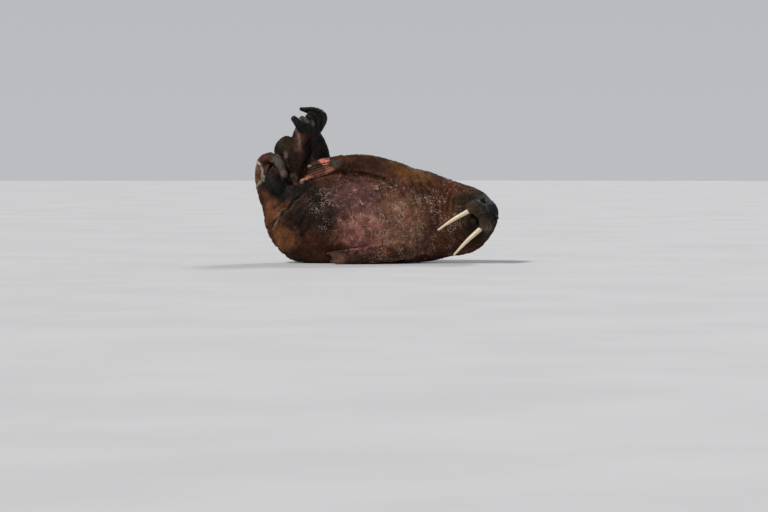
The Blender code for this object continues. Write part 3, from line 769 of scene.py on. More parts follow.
def relief(p, n):
    """How far the skin stands out or in, in metres: folds, creases, wrinkles and bosses."""
    q = drawn(p)
    front = smooth_step(0.15, -0.35, n[:, 1])
    to_head = norm(q - on_head(-0.03, 0, 0))
    head = 1 - smooth_step(0.20, 0.27, to_head)
    neck = smooth_step(0.24, 0.32, to_head) * (1 - smooth_step(0.42, 0.72, to_head))
    flippers = np.maximum(smooth_step(1.40, 1.50, q[:, 2]), in_oval(q, (-1.18, 1.02), (0.22, 0.25)))
    trunk = (1 - head) * (1 - flippers)

    wander = noise(p, 0.36, 1) * 0.045 + noise(p, 0.12, 2) * 0.012
    broken = smooth_step(-0.7, 0.1, noise(p, 0.14, 17))
    height = NECK_FOLDS * neck * broken * folds(to_head + wander, 0.066, 0.20, 0.3)

    hips = smooth_step(-0.55, -0.85, q[:, 0]) * (1 - flippers)
    slope = 0.7 * (q[:, 2] - q[:, 0]) + wander
    broken = smooth_step(-0.5, 0.3, noise(p, 0.22, 18))
    height += HIP_FOLDS * hips * broken * folds(slope, 0.11, 0.13)

    shoulder = in_oval(q, (0.55, 0.80), (0.34, 0.34))
    slope = 0.85 * q[:, 0] + 0.5 * q[:, 2] + wander
    height += SHOULDER_FOLDS * shoulder * front * folds(slope, 0.090, 0.15)

    back = trunk * smooth_step(-0.1, 0.5, n[:, 1]) * smooth_step(0.75, 0.3, q[:, 0])
    slope = q[:, 0] + 0.25 * q[:, 2] + 1.5 * wander
    broken = smooth_step(-0.4, 0.3, noise(p, 0.25, 10))
    height += BACK_FOLDS * back * broken * folds(slope, 0.135, 0.12)

    lines = noise(p, (0.022, 0.085, 0.085), 3) + 0.6 * noise(p, (0.012, 0.04, 0.04), 4)
    height += 0.0019 * trunk * lines
    height += 0.0060 * trunk * noise(p, 0.19, 5)
    height += 0.0014 * (1 - 0.5 * trunk) * noise(p, 0.014, 6)
    height += toe_grooves(q)
    height += 0.016 * in_oval(q, (-0.440, 1.130), (0.062, 0.055)) * front * (away_from(p, "hands") < 0.02)

    bossy = trunk * (0.30 + 0.70 * smooth_step(-0.2, 0.55, q[:, 0]))
    height += BOSSES * bossy * pimples(p, 0.040, 0.017)

    for line, width, depth in CREASES:
        far = along_line(q, line)
        height += front * depth * (0.35 * bell(far - 1.6 * width, width) - bell(far, width))
    face = (q - HEAD_AT) @ HEAD_AXES.T
    slope = face[:, 0] + 0.6 * np.abs(face[:, 2]) + wander * 0.9
    on_bridge = head * smooth_step(0.00, 0.05, face[:, 1]) * (1 - smooth_step(0.16, 0.21, face[:, 0]))
    on_bridge *= 0.25 + 0.75 * smooth_step(-0.5, 0.5, noise(p, (0.09, 0.05, 0.09), 19))
    height += SNOUT_FOLDS * on_bridge * folds(slope, 0.034, 0.22, 0.3)
    for centre in EYES.values():
        away = norm(p - centre)
        round_eye = smooth_step(0.024, 0.030, away) * (1 - smooth_step(0.045, 0.070, away))
        height += 0.0026 * round_eye * folds(away + wander * 0.15, 0.012, 0.22, 0.3)
        flat = (p - centre) @ (LID_TILT @ HEAD_AXES).T
        ring = np.hypot(flat[:, 0] / 0.0190, flat[:, 1] / 0.0118)
        height += 0.0030 * bell(ring - 1.05, 0.22) * (away < 0.05)
    for mass in CUTS:
        if mass.group == "nostril":
            height += 0.0042 * head * bell(mass.distance(p) - 0.007, 0.005)
    height += head * 0.0020 * noise(p, 0.020, 8)
    return height


FOOT_RIM = [(-1.374, 1.184), (-1.322, 1.126), (-1.299, 1.046), (-1.310, 0.954), (-1.379, 0.851)]

# Creases on the belly side: drawn (x, z) points, half width, depth.
CREASES = [
    ([(-1.02, 0.58), (-0.95, 0.70), (-0.84, 0.78)], 0.018, 0.014),
    ([(-1.20, 0.39), (-1.13, 0.53), (-1.03, 0.63)], 0.016, 0.010),
    ([(-0.92, 0.44), (-0.86, 0.60), (-0.74, 0.72)], 0.015, 0.008),
    ([(-0.36, 1.04), (-0.10, 1.02), (0.10, 0.965)], 0.020, 0.017),
    ([(0.10, 0.965), (0.28, 0.87), (0.36, 0.76)], 0.022, 0.006),
    ([(0.52, 0.90), (0.56, 0.76), (0.54, 0.62)], 0.016, 0.007),
    ([(-0.34, 1.20), (-0.37, 1.10)], 0.010, 0.006),
    ([(-0.46, 1.19), (-0.48, 1.09)], 0.010, 0.006),
    (FOOT_RIM, 0.012, -0.009),
    ([(-1.25, 1.02), (-1.21, 1.10), (-1.17, 1.15)], 0.012, 0.010),
    ([(-0.98, 1.02), (-0.955, 1.10)], 0.008, 0.006),
    ([(-0.945, 0.97), (-0.935, 1.06)], 0.008, 0.006),
    ([(-1.05, 1.28), (-1.045, 1.20), (-1.01, 1.10)], 0.012, -0.006),
]


# Marks

RUST = (0.062, 0.0205, 0.0075)
DARK_BROWN = (0.012, 0.0052, 0.0033)
GOLD = (0.112, 0.048, 0.016)
ORANGE = (0.200, 0.080, 0.032)
PINK = (0.092, 0.039, 0.034)
RED_PINK = (0.250, 0.105, 0.085)
TAN = (0.160, 0.076, 0.044)
OLIVE = (0.036, 0.022, 0.010)
# Painted shade: the head's hide made nearly black where it turns away from the light.
HEAD_SHADE = (0.0040, 0.0034, 0.0030)
PAD = (0.024, 0.018, 0.013)
BLACK = (0.0045, 0.0043, 0.0042)
GREY = (0.085, 0.070, 0.058)
PINK_GREY = (0.120, 0.078, 0.062)
RAW = (0.500, 0.165, 0.125)
PALE = (0.300, 0.250, 0.190)
RED_BROWN = (0.060, 0.020, 0.012)
KNOB = (0.062, 0.045, 0.034)
RED_SKIN = (0.300, 0.120, 0.080)
SPECK = (0.46, 0.33, 0.27)
SCAR = (0.46, 0.31, 0.26)

# Ovals on the belly side: colour, strength, drawn (x, z), radii, turn in degrees.
OVALS = [
    (DARK_BROWN, 0.97, (-0.66, 0.62), (0.32, 0.36), -20),
    (TAN, 0.80, (0.28, 0.50), (0.34, 0.42), 15),
    (PINK, 0.95, (-0.22, 0.74), (0.36, 0.27), -8),
    (RED_PINK, 0.85, (-0.16, 0.36), (0.32, 0.23), 10),
    (RUST, 0.75, (0.82, 0.62), (0.28, 0.30), 0),
    # Painted shade on the cheek and neck below the left tusk.
    (HEAD_SHADE, 0.80, (1.26, 0.31), (0.17, 0.16), 0),
    (GOLD, 0.95, (0.40, 1.06), (0.30, 0.13), -22),
    (RED_BROWN, 0.60, (0.86, 0.86), (0.28, 0.08), -18),
    (DARK_BROWN, 0.50, (-0.10, 1.13), (0.34, 0.07), -6),
    (RED_BROWN, 0.70, (0.20, 0.88), (0.22, 0.12), -15),
    (ORANGE, 0.28, (-1.20, 0.52), (0.15, 0.32), 8),
    (DARK_BROWN, 0.95, (-0.92, 0.50), (0.19, 0.28), -25),
    (ORANGE, 0.70, (-1.05, 0.27), (0.16, 0.15), 10),
    # Painted shade on the right hind leg behind the arm.
    (DARK_BROWN, 0.95, (-0.90, 1.28), (0.36, 0.36), 0),
    # Black sole of the left hind flipper, with painted shade in the hollow between the flipper, the right
    # hind leg and the belly.
    (BLACK, 1.00, (-1.13, 0.88), (0.24, 0.19), -25),
    (BLACK, 0.90, (-0.86, 0.86), (0.20, 0.09), 38),
    # The left hind flipper's brown back, with painted sunlight on its lit outer side.
    (TAN, 0.80, (-1.37, 1.02), (0.055, 0.16), 0),
    (RED_BROWN, 0.60, (-1.30, 1.22), (0.10, 0.05), 20),
    (GREY, 0.72, (-1.125, 1.125), (0.085, 0.13), 25),
    (PINK_GREY, 0.85, (-1.06, 1.02), (0.060, 0.060), 20),
    (RED_BROWN, 0.62, (-0.87, 1.40), (0.080, 0.17), 5),
    # Painted shade behind the tail.
    (OLIVE, 0.70, (-1.04, 1.33), (0.090, 0.12), 0),
    (DARK_BROWN, 0.50, (-0.95, 1.16), (0.110, 0.16), 15),
    (PINK_GREY, 0.80, (-0.940, 0.985), (0.050, 0.060), 0),
    # Painted shade on the side of the right hind leg away from the light.
    (BLACK, 0.92, (-0.665, 1.30), (0.130, 0.24), 18),
]

# The same, on the right hand only.
HAND_OVALS = [
    # Painted shade in the web between the hand's toes.
    (RED_BROWN, 0.80, (-0.640, 1.090), (0.260, 0.140), 15),
    (KNOB, 0.80, (-0.440, 1.130), (0.075, 0.060), 0),
    (RAW, 1.00, (-0.585, 1.160), (0.080, 0.066), -8),
    (PINK_GREY, 0.60, (-0.560, 1.190), (0.030, 0.014), -8),
    (OLIVE, 0.80, (-0.725, 1.115), (0.080, 0.045), 15),
    (PALE, 0.70, (-0.765, 1.100), (0.026, 0.022), 0),
]

# Streaks on the belly side: colour, strength, half width, drawn (x, z) points.
STREAKS = [
    # Painted highlight along the lit rim of the left hind flipper.
    (PALE, 0.90, 0.017, FOOT_RIM),
    # Painted highlight on the ridge of the right hind heel.
    (PINK_GREY, 0.70, 0.012, [(-1.057, 1.276), (-1.046, 1.207)]),
    (PINK_GREY, 0.60, 0.022, [(-0.908, 1.517), (-0.874, 1.414), (-0.862, 1.299)]),
    # Painted sunlight on the sole between the right hind flipper's lobes.
    (GREY, 0.65, 0.030, [(-0.862, 1.690), (-0.800, 1.640), (-0.736, 1.598)]),
    (PALE, 0.35, 0.010, [(-1.02, 0.585), (-0.95, 0.705), (-0.84, 0.785)]),
    (PALE, 0.30, 0.010, [(-1.20, 0.395), (-1.13, 0.535), (-1.03, 0.635)]),
]

HAND_STREAKS = [
    (RED_SKIN, 0.85, 0.026, [(-0.506, 1.085), (-0.667, 1.028), (-0.862, 0.945)]),
    (PALE, 0.60, 0.018, [(-0.840, 0.950), (-0.870, 0.940)]),
    # Painted shade in the web above the long toe.
    (RED_BROWN, 0.75, 0.018, [(-0.586, 1.060), (-0.747, 1.010)]),
]


def marks(p, n, height):
    """Colour of the hide, with some painted shade and highlights, and how far specks, scars and bare skin
    show there.
    """
    q = drawn(p)
    front = smooth_step(0.25, -0.25, n[:, 1])
    wander = noise(p, 0.11, 11) * 0.5 + noise(p, 0.035, 12) * 0.25
    q_wander = q + 0.05 * np.stack([wander, 0 * wander, noise(p, 0.09, 13) * 0.5], 1)
    ragged = noise(p, 0.045, 24) * 0.22 + noise(p, 0.018, 25) * 0.16
    facing = smooth_step(0.05, -0.30, n[:, 1])
    face = (q - HEAD_AT) @ HEAD_AXES.T
    to_head = norm(q_wander - on_head(-0.02, 0.02, 0))
    head = 1 - smooth_step(0.20, 0.34, to_head)
    pads = smooth_step(0.11, 0.17, face[:, 0]) * (1 - smooth_step(0.05, 0.09, face[:, 1]))
    throat = smooth_step(-0.10, -0.16, face[:, 1]) * (1 - smooth_step(0.1, 0.3, np.abs(face[:, 0])))
    right_foot = smooth_step(1.43, 1.53, q_wander[:, 2] + 0.25 * (q[:, 0] + 0.8))
    left_foot = smooth_step(0.98, 1.10, q_wander[:, 2]) * (1 - smooth_step(-1.12, -1.05, q[:, 0]))
    hand = smooth_step(-0.30, -0.42, q_wander[:, 0]) * (1 - smooth_step(0.10, 0.17, q[:, 2]))
    hand *= q[:, 1] < -0.38
    on_hand = 1 - smooth_step(0.000, 0.016, away_from(p, "hands"))

    def ovals(rows, where):
        for tone, strength, at, radii, turn in rows:
            yield tone, strength * where * in_oval(q_wander, at, radii, turn, ragged)

    def streaks(rows, where):
        for tone, strength, width, line in rows:
            near = 1 - smooth_step(0.5, 1.4, along_line(q_wander, line) / width + ragged)
            yield tone, strength * where * near

    layers = [
        (DARK_BROWN, 0.55 * smooth_step(-0.4, 0.6, noise(p, 0.30, 14))),
        (ORANGE, 0.22 * smooth_step(0.1, 0.9, noise(p, 0.13, 15))),
        (PINK, 0.25 * smooth_step(-0.2, 0.3, wander) * smooth_step(0.2, -0.6, n[:, 1])),
        *ovals(OVALS, front),
        (DARK_BROWN, 0.55 * smooth_step(0.22, 0.03, q[:, 2])),
        # Painted shade: the head made nearly black, fading through dark olive into the neck.
        (OLIVE, 0.9 * (1 - smooth_step(0.27, 0.46, to_head))),
        (HEAD_SHADE, 0.92 * head),
        (PAD, 0.85 * pads * head),
        (OLIVE, 0.6 * throat * head),
        (BLACK, right_foot),
        (BLACK, 0.8 * left_foot * (1 - front)),
        (TAN, 0.40 * hand),
        *ovals(HAND_OVALS, on_hand),
        *streaks(STREAKS, facing),
        *streaks(HAND_STREAKS, on_hand),
    ]
    colour = np.tile(RUST, (len(p), 1))
    for tone, share in layers:
        colour += (tone - colour) * share[:, None]
    # Painted shade in the hollows of the relief, and a painted highlight on what stands out.
    colour *= (1 - 0.60 * smooth_step(0.0010, 0.0095, -height))[:, None]
    colour *= (1 + 0.25 * smooth_step(0.0010, 0.0070, height))[:, None]

    chest = smooth_step(-0.5, 0.25, q[:, 0]) * (1 - smooth_step(0.95, 1.15, q[:, 0]))
    specks = 0.30 + 0.70 * chest * (1 - 0.6 * smooth_step(0.75, 1.0, q[:, 2]))
    specks = np.maximum(specks, 0.75 * in_oval(q, (-0.60, 0.62), (0.30, 0.35)) * front)
    specks = np.maximum(specks, 0.55 * smooth_step(0.0, 0.7, noise(p, 0.28, 16)) * (1 - front))
    specks *= (1 - head) * (1 - right_foot) * (0.55 + 0.45 * front)
    specks *= 1 - smooth_step(0.95, 1.1, q[:, 2])
    scars = in_oval(q, (-0.20, 0.60), (0.55, 0.50)) * front
    scars = np.maximum(scars, (0.06 + 0.10 * (1 - front)) * (1 - head) * (1 - right_foot) * (q[:, 2] < 1.1))
    palm = in_oval(q, (-0.62, 1.09), (0.26, 0.11), 15) * (q[:, 1] < -0.05)
    sole = in_oval(q, (-1.16, 1.04), (0.18, 0.22))
    bare = np.max([right_foot, left_foot, hand, palm, sole, 0.6 * head * pads], axis=0)
    return np.column_stack([colour, specks, scars, bare])


# Lie of the coat: drawn places and the way the hair points there.
LIE = [
    ((1.30, -0.20, 0.80), (-0.2, 0.6, 0.6)),
    ((1.15, -0.30, 0.35), (-0.6, 0.3, -0.3)),
    ((1.00, 0.00, 0.55), (-1, 0.1, 0)),
    ((0.50, 0.00, 0.55), (-1, 0, 0)),
    ((0.00, 0.00, 0.55), (-1, 0, 0)),
    ((-0.50, 0.00, 0.50), (-1, 0, 0.1)),
    ((-0.90, 0.00, 0.35), (-0.9, 0, 0.5)),
    ((-1.20, 0.00, 0.55), (-0.4, 0, 1)),
    ((-1.30, 0.00, 0.90), (0, 0, 1)),
    ((-0.80, 0.00, 1.20), (0, 0, 1)),
    ((-0.80, 0.00, 1.60), (0, 0, 1)),
    ((-1.03, 0.10, 1.30), (0, 0, 1)),
    ((-1.10, -0.22, 1.10), (0.3, -0.2, -1)),
    ((0.20, -0.10, 1.05), (-1, 0, 0.3)),
    ((-0.40, -0.15, 1.15), (-1, 0, -0.1)),
    ((-0.75, -0.20, 1.05), (-1, 0, -0.4)),
    ((-0.30, -0.48, 0.08), (-1, 0, 0)),
]


def lie_of_coat(p, n):
    q = drawn(p)
    total = np.zeros_like(q)
    for at, way in LIE:
        weight = 1 / (0.02 + ((q - at) ** 2).sum(1)) ** 2
        total += weight[:, None] * unit(way)
    face = (q - HEAD_AT) @ HEAD_AXES.T
    near_face = 1 - smooth_step(0.16, 0.30, norm(face))
    total = unit(total) * (1 - near_face)[:, None] - near_face[:, None] * HEAD_AXES[0]
    total += 0.25 * np.stack([noise(p, 0.05, seed) for seed in (21, 22, 23)], 1)
    return unit(total - (total * n).sum(1)[:, None] * n)


# Objects and materials

def linked(name, mesh, material):
    obj = in_scene(name, mesh)
    mesh.materials.append(material)
    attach(obj, "root")
    return obj


def mesh_from(name, points, faces):
    mesh = bpy.data.meshes.new(name)
    mesh.from_pydata(points.tolist(), [], faces)
    mesh.polygons.foreach_set("use_smooth", np.ones(len(faces), bool))
    return mesh


def write_places(mesh, corners):
    mesh.uv_layers.new(name="OFBake").data.foreach_set("uv", corners.astype(np.float32).ravel())


def attribute(mesh, name, kind, values):
    made = mesh.attributes.new(name, kind, "POINT")
    if kind == "FLOAT_COLOR":
        values = np.column_stack([values, np.ones(len(values))])
        made.data.foreach_set("color", values.astype(np.float32).ravel())
    else:
        made.data.foreach_set("value", values.astype(np.float32))


def painted(mesh, marked):
    """Writes the marks on the mesh."""
    attribute(mesh, "hide", "FLOAT_COLOR", marked[:, :3])
    for name, values in zip(("specks", "scars", "bare"), marked.T[3:]):
        attribute(mesh, name, "FLOAT", values)


class Nodes:
    """Short ways to add and join the shader nodes of a material or world."""

    def __init__(self, owner, shader="Principled BSDF"):
        owner.use_nodes = True
        self.owner = owner
        self.tree = owner.node_tree
        self.shader = self.tree.nodes[shader]

    def join(self, value, socket):
        if isinstance(value, bpy.types.NodeSocket):
            self.tree.links.new(value, socket)
        else:
            socket.default_value = (*value, 1) if socket.type == "RGBA" else value

    def add(self, kind, inputs, output=0, **settings):
        """Adds a node, sets or joins its inputs and returns one of its outputs."""
        node = self.tree.nodes.new("ShaderNode" + kind)
        for key, value in settings.items():
            setattr(node, key, value)
        for key, value in inputs.items():
            self.join(value, node.inputs[key])
        return node.outputs[output]

    def place(self, output="Object"):
        return self.add("TexCoord", {}, output)

    def attr(self, name, output="Fac"):
        return self.add("Attribute", {}, output, attribute_name=name)

    def stretched(self, scale):
        return self.add("Mapping", {"Vector": self.place(), "Scale": scale})

    def warped(self, scale, size, share):
        """Stretched places, pushed about by smooth noise."""
        shift = self.add("TexNoise", {"Vector": self.place(), "Scale": size}, "Color")
        return self.add("Mix", {"Factor": share, 4: self.stretched(scale), 5: shift}, 1, data_type="VECTOR")

    def noise(self, scale, detail=4.0, rough=0.55, place=None, distortion=0.0):
        values = {"Scale": scale, "Detail": detail, "Roughness": rough, "Distortion": distortion}
        return self.add("TexNoise", {"Vector": place or self.place(), **values}, "Fac")

    def voronoi(self, scale, feature="F1", place=None):
        values = {"Vector": place or self.place(), "Scale": scale}
        return self.add("TexVoronoi", values, "Distance", feature=feature)

    def ramp(self, value, low, high, bottom=0.0, top=1.0, kind="SMOOTHSTEP"):
        values = {"Value": value, "From Min": low, "From Max": high, "To Min": bottom, "To Max": top}
        return self.add("MapRange", values, interpolation_type=kind)

    def math(self, operation, a, b=0.0):
        return self.add("Math", {0: a, 1: b}, operation=operation)

    def times(self, a, b):
        return self.math("MULTIPLY", a, b)

    def mix(self, share, a, b, blend="MIX"):
        return self.add("Mix", {"Factor": share, 6: a, 7: b}, 2, data_type="RGBA", blend_type=blend)

    def bump(self, height, strength, distance, below=None):
        normal = {"Normal": below} if below else {}
        return self.add("Bump", {"Height": height, "Strength": strength, "Distance": distance, **normal})

    def finish(self, **values):
        for key, value in values.items():
            self.join(value, self.shader.inputs[key.replace("_", " ")])
        return self.owner


def hide_colour(m):
    """Colour shared by skin and coat: the marks, broken up by blotches, specks and scars."""
    base = m.attr("hide", "Color")
    blotches = m.ramp(m.noise(7, 6, 0.65), 0.30, 0.72, 0.50, 1.55)
    fine = m.ramp(m.noise(34, 5, 0.75), 0.30, 0.70, 0.58, 1.48)
    tone = m.times(blotches, fine)
    colour = m.mix(1.0, base, m.add("CombineColor", {k: tone for k in range(3)}), "MULTIPLY")

    sparse = m.ramp(m.noise(8, 3), 0.38, 0.60)
    amount = m.times(m.attr("specks"), m.math("ADD", 0.35, sparse))
    for scale, reach, share in ((38, 0.28, 0.75), (72, 0.35, 0.62)):
        away = m.voronoi(scale, place=m.warped((1, 1, 1.25), 60, 0.022))
        edge = m.times(amount, reach)
        dots = m.ramp(away, edge, m.times(edge, 0.45))
        dots = m.times(dots, m.ramp(amount, 0.12, 0.6))
        colour = m.mix(m.times(dots, share), colour, SPECK)

    for scale, wander in (((4, 6, 11), 15), ((9, 8, 5), 19)):
        level = m.math("ABSOLUTE", m.math("SUBTRACT", m.noise(1, 2, 0.5, m.stretched(scale), 0.6), 0.5))
        line = m.times(m.ramp(level, 0.012, 0.002), m.ramp(m.noise(wander, 2), 0.51, 0.59))
        line = m.times(line, m.times(m.attr("scars"), 0.85))
        colour = m.mix(line, colour, SCAR)
    return colour, blotches


def skin_material():
    m = Nodes(bpy.data.materials.new("hide"))
    colour, blotches = hide_colour(m)
    cracks = m.ramp(m.voronoi(70, "DISTANCE_TO_EDGE", m.stretched((1, 0.75, 1.3))), 0.0, 0.09)
    creased = m.ramp(m.voronoi(22, "DISTANCE_TO_EDGE", m.stretched((1.3, 0.8, 0.8))), 0.0, 0.05)
    lines = m.noise(1, 5, 0.65, m.stretched((30, 90, 90)))
    # Painted shade in the cracks that the bump cuts into the skin.
    low = m.mix(m.ramp(cracks, 0.0, 0.6, 0.35, 0.0), colour, (0.02, 0.012, 0.010))
    rough = m.ramp(blotches, 0.6, 1.4, 0.72, 0.52)
    rough = m.math("SUBTRACT", rough, m.times(m.attr("bare"), 0.10))
    normal = m.bump(creased, 0.35, 0.004)
    normal = m.bump(cracks, 0.30, 0.0016, normal)
    normal = m.bump(lines, 0.45, 0.0030, normal)
    return m.finish(Base_Color=low, Roughness=rough, Normal=normal, Specular_IOR_Level=0.15)


def coat_material():
    m = Nodes(bpy.data.materials.new("coat"))
    colour, blotches = hide_colour(m)
    lit = m.mix(1.0, colour, (1.25, 1.18, 1.12), "MULTIPLY")
    rough = m.ramp(blotches, 0.6, 1.4, 0.70, 0.55)
    return m.finish(Base_Color=lit, Roughness=rough, Specular_IOR_Level=0.08)


# The skin

def from_face(q):
    return norm(q - on_head(0.07, 0, 0))


def from_eyes(p):
    return np.min([norm(p - centre) for centre in EYES.values()], axis=0)


def make_skin():
    """Meshes the field, finer on face, hand and feet and finest by the eyes, and adds relief and marks."""
    low, high = placed((-1.50, -0.66, -0.06)), placed((1.50, 0.60, 1.90))
    counts = np.ceil((high - low) / CELL).astype(int)
    points, quads = surface_nets(without_checkers(grid_values(low, counts, CELL), CELL), low, CELL)
    points = onto_surface(points, CELL / 2, 2)
    places = unwrapped(points, quads)
    points, quads, places, _ = split(points, quads, places, np.ones(len(quads), bool))
    points = onto_surface(points, CELL / 4)
    middle = points[quads].mean(1)
    q = drawn(middle)
    by_hand, by_foot = norm(q - HAND_MIDDLE) < HAND_REACH, norm(q - FOOT_MIDDLE) < FOOT_REACH
    by_foot &= q[:, 2] > FOOT_LOW
    fine = (from_face(q) < FACE_REACH) | by_hand | by_foot | (q[:, 2] > HIGH_FOOT_LOW)
    points, quads, places, rings = split(points, quads, places, fine)
    points = onto_surface(points, CELL / 8)
    middle = points[quads].mean(1)
    points, quads, places, more = split(points, quads, places, from_eyes(middle) < BY_EYE)
    points = onto_surface(points, CELL / 16)
    rings += more
    normals = vertex_normals(points, quads)
    height = relief(points, normals)
    marked = marks(points, normals, height)
    points = points + normals * height[:, None]
    points[:, 2] = np.maximum(points[:, 2], 0.0)
    mesh = mesh_from("skin", points, quads.tolist() + [ring for ring, _ in rings])
    write_places(mesh, np.concatenate([places.reshape(-1, 2)] + [uv for _, uv in rings]))
    normals = vertex_normals(points, quads)
    painted(mesh, marked)
    skin = linked("skin", mesh, skin_material())
    return skin, points, quads, places, normals, marked


def coat_roots(points, quads, places, normals, marked, count):
    """Random places on the skin, none under the animal, with how far they are from the face."""
    corner = points[quads]
    area = norm(np.cross(corner[:, 2] - corner[:, 0], corner[:, 3] - corner[:, 1])) / 2
    middle = corner.mean(1)
    face = from_face(drawn(middle))
    bare = marked[quads, 5].mean(1)
    want = area * (1 - BARE_SHARE * bare) * (1 + FACE_EXTRA * (face < FACE_REACH))
    want *= middle[:, 2] > COAT_LOW
    want *= from_eyes(middle) > BARE_BY_EYE
    pick = np.sort(rng.choice(len(quads), count, p=want / want.sum()))
    u, v = rng.random((2, count))
    weight = np.stack([(1 - u) * (1 - v), u * (1 - v), u * v, (1 - u) * v], 1)[:, :, None]
    root = (corner[pick] * weight).sum(1)
    normal = unit((normals[quads[pick]] * weight).sum(1))
    return root, normal, (places[pick] * weight).sum(1), face[pick], (marked[quads[pick]] * weight).sum(1)


def make_coat(points, quads, places, normals, marked):
    """Short tufts that lie flat, each a three-sided blade that stands out a little at its tip."""
    count = COAT_TRIANGLES * COAT_PIECES // 3
    root, normal, place, face, mark = coat_roots(points, quads, places, normals, marked, count)
    way = lie_of_coat(root, normal)
    side = np.cross(normal, way)
    small = (0.45 + 0.55 * smooth_step(0.20, 0.38, face)) * (1 - 0.55 * mark[:, 5])
    small *= 0.6 + 0.4 * smooth_step(0.035, 0.080, from_eyes(root))
    length, width, lift = (
        low + (high - low) * rng.random(count) ** power
        for (low, high), power in ((TUFT_LENGTH, 1), (TUFT_WIDTH, 1), (TUFT_LIFT, 2))
    )
    length *= small
    width *= 0.6 + 0.4 * small
    start = root - normal * 0.0006
    tip = root + way * length[:, None] + normal * (length * lift)[:, None]
    tip += side * (length * rng.normal(0, 0.16, count))[:, None]
    left, right = start - side * width[:, None], start + side * width[:, None]
    top = root + normal * (width * 0.9)[:, None] + way * (length * 0.25)[:, None]
    blades = np.stack([left, right, top, tip], 1)
    blades[..., 2] = np.maximum(blades[..., 2], 0.0)
    patch = np.array([(-0.5, -0.5), (0.5, -0.5), (0.0, 0.0), (0.0, 0.5)]) * PATCH
    order = np.argsort(root[:, 0], kind="stable")
    hide = coat_material()
    for number, part in enumerate(np.array_split(order, COAT_PIECES)):
        base = np.arange(len(part))[:, None] * 4
        faces = np.concatenate([base + (0, 2, 3), base + (2, 1, 3), base + (0, 1, 2)], 1).reshape(-1, 3)
        mesh = mesh_from(f"coat_{number + 1}", blades[part].reshape(-1, 3), faces.tolist())
        corners = (place[part][:, None, :] + patch).reshape(-1, 2)[faces.ravel()]
        write_places(mesh, corners)
        painted(mesh, np.repeat(mark[part], 4, axis=0))
        linked(f"coat_{number + 1}", mesh, hide)


# Tusks, eyes, whiskers and nails

def rounded(path):
    """Adds the rings of a round tip to the end of a path."""
    end = path[-1]
    way = unit(end[:3] - path[-2, :3])
    turns = np.linspace(0.2, 1.4, 7)
    tip = [(*(end[:3] + way * end[3] * math.sin(a)), end[3] * math.cos(a)) for a in turns]
    return np.vstack([path, tip])


def swept(path, radius, sides, oval=1.0, ridges=0.0):
    """A tube along a path, with shallow lengthwise grooves where ridges is set."""
    along = unit(np.gradient(path, axis=0))
    a = unit(np.cross(along, (0.1, 1, 0.1)))
    b = np.cross(along, a)
    turn = np.arange(sides) * 2 * math.pi / sides
    groove = 1 + ridges * (np.cos(turn * 3 + 0.6) + 0.5 * np.cos(turn * 7))
    ring = np.cos(turn)[:, None] * a[:, None] + oval * np.sin(turn)[:, None] * b[:, None]
    points = (path[:, None] + ring * groove[:, None] * radius[:, None, None]).reshape(-1, 3)
    ring = np.arange(len(points)).reshape(len(path), sides)
    beside = np.roll(ring, -1, 1)
    return points, np.stack([ring[:-1], beside[:-1], beside[1:], ring[1:]], 2).reshape(-1, 4)


def closed_tube(name, mark, values, *shape):
    """A swept tube with a face at each end. values has one value of the mark for each ring."""
    points, quads = swept(*shape)
    ends = np.arange(len(points)).reshape(len(values), -1)[[0, -1]].tolist()
    mesh = mesh_from(name, points, [*quads.tolist(), ends[0][::-1], ends[1]])
    attribute(mesh, mark, "FLOAT", np.repeat(values, len(ends[0])))
    return mesh


def ivory_material():
    m = Nodes(bpy.data.materials.new("ivory"))
    grain = m.noise(1, 6, 0.6, m.stretched((18, 60, 60)))
    stain = m.ramp(m.noise(6, 4), 0.35, 0.75)
    colour = m.mix(m.ramp(grain, 0.35, 0.7), (0.80, 0.70, 0.52), (0.66, 0.54, 0.36))
    colour = m.mix(m.times(stain, 0.35), colour, (0.42, 0.28, 0.15))
    root = m.ramp(m.attr("along"), 0.45, 0.0)
    colour = m.mix(m.times(root, 0.55), colour, (0.36, 0.26, 0.16))
    crack = m.ramp(m.voronoi(1, "DISTANCE_TO_EDGE", m.stretched((10, 60, 60))), 0.03, 0.0)
    colour = m.mix(m.times(crack, 0.14), colour, (0.30, 0.20, 0.11))
    normal = m.bump(grain, 0.30, 0.0012)
    rough = m.ramp(grain, 0.3, 0.8, 0.32, 0.48)
    return m.finish(Base_Color=colour, Roughness=rough, Normal=normal, Specular_IOR_Level=0.5)


def make_tusks():
    ivory = ivory_material()
    for name, rows in TUSKS.items():
        path = rounded(smooth_path(placed_rows(rows), 12))
        along = np.linspace(0, 1, len(path))
        mesh = closed_tube(name + "_ivory", "along", along, path[:, :3], path[:, 3], 36, 0.94, 0.012)
        tusk = linked(name + "_ivory", mesh, ivory)
        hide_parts(name)


def eye_material():
    m = Nodes(bpy.data.materials.new("eye"))
    streaks = m.noise(1, 3, 0.6, m.stretched((900, 900, 900)))
    iris = m.mix(m.ramp(streaks, 0.35, 0.7), (0.050, 0.022, 0.011), (0.018, 0.009, 0.006))
    out = m.attr("out")
    colour = m.mix(m.ramp(out, 0.925, 0.94), iris, (0.002, 0.002, 0.002))
    white = m.mix(m.ramp(m.noise(260, 3), 0.45, 0.65), (0.075, 0.038, 0.026), (0.100, 0.030, 0.022))
    colour = m.mix(m.ramp(out, 0.60, 0.52), colour, white)
    return m.finish(Base_Color=colour, Roughness=0.06, Specular_IOR_Level=0.6, Coat_Weight=0.6)


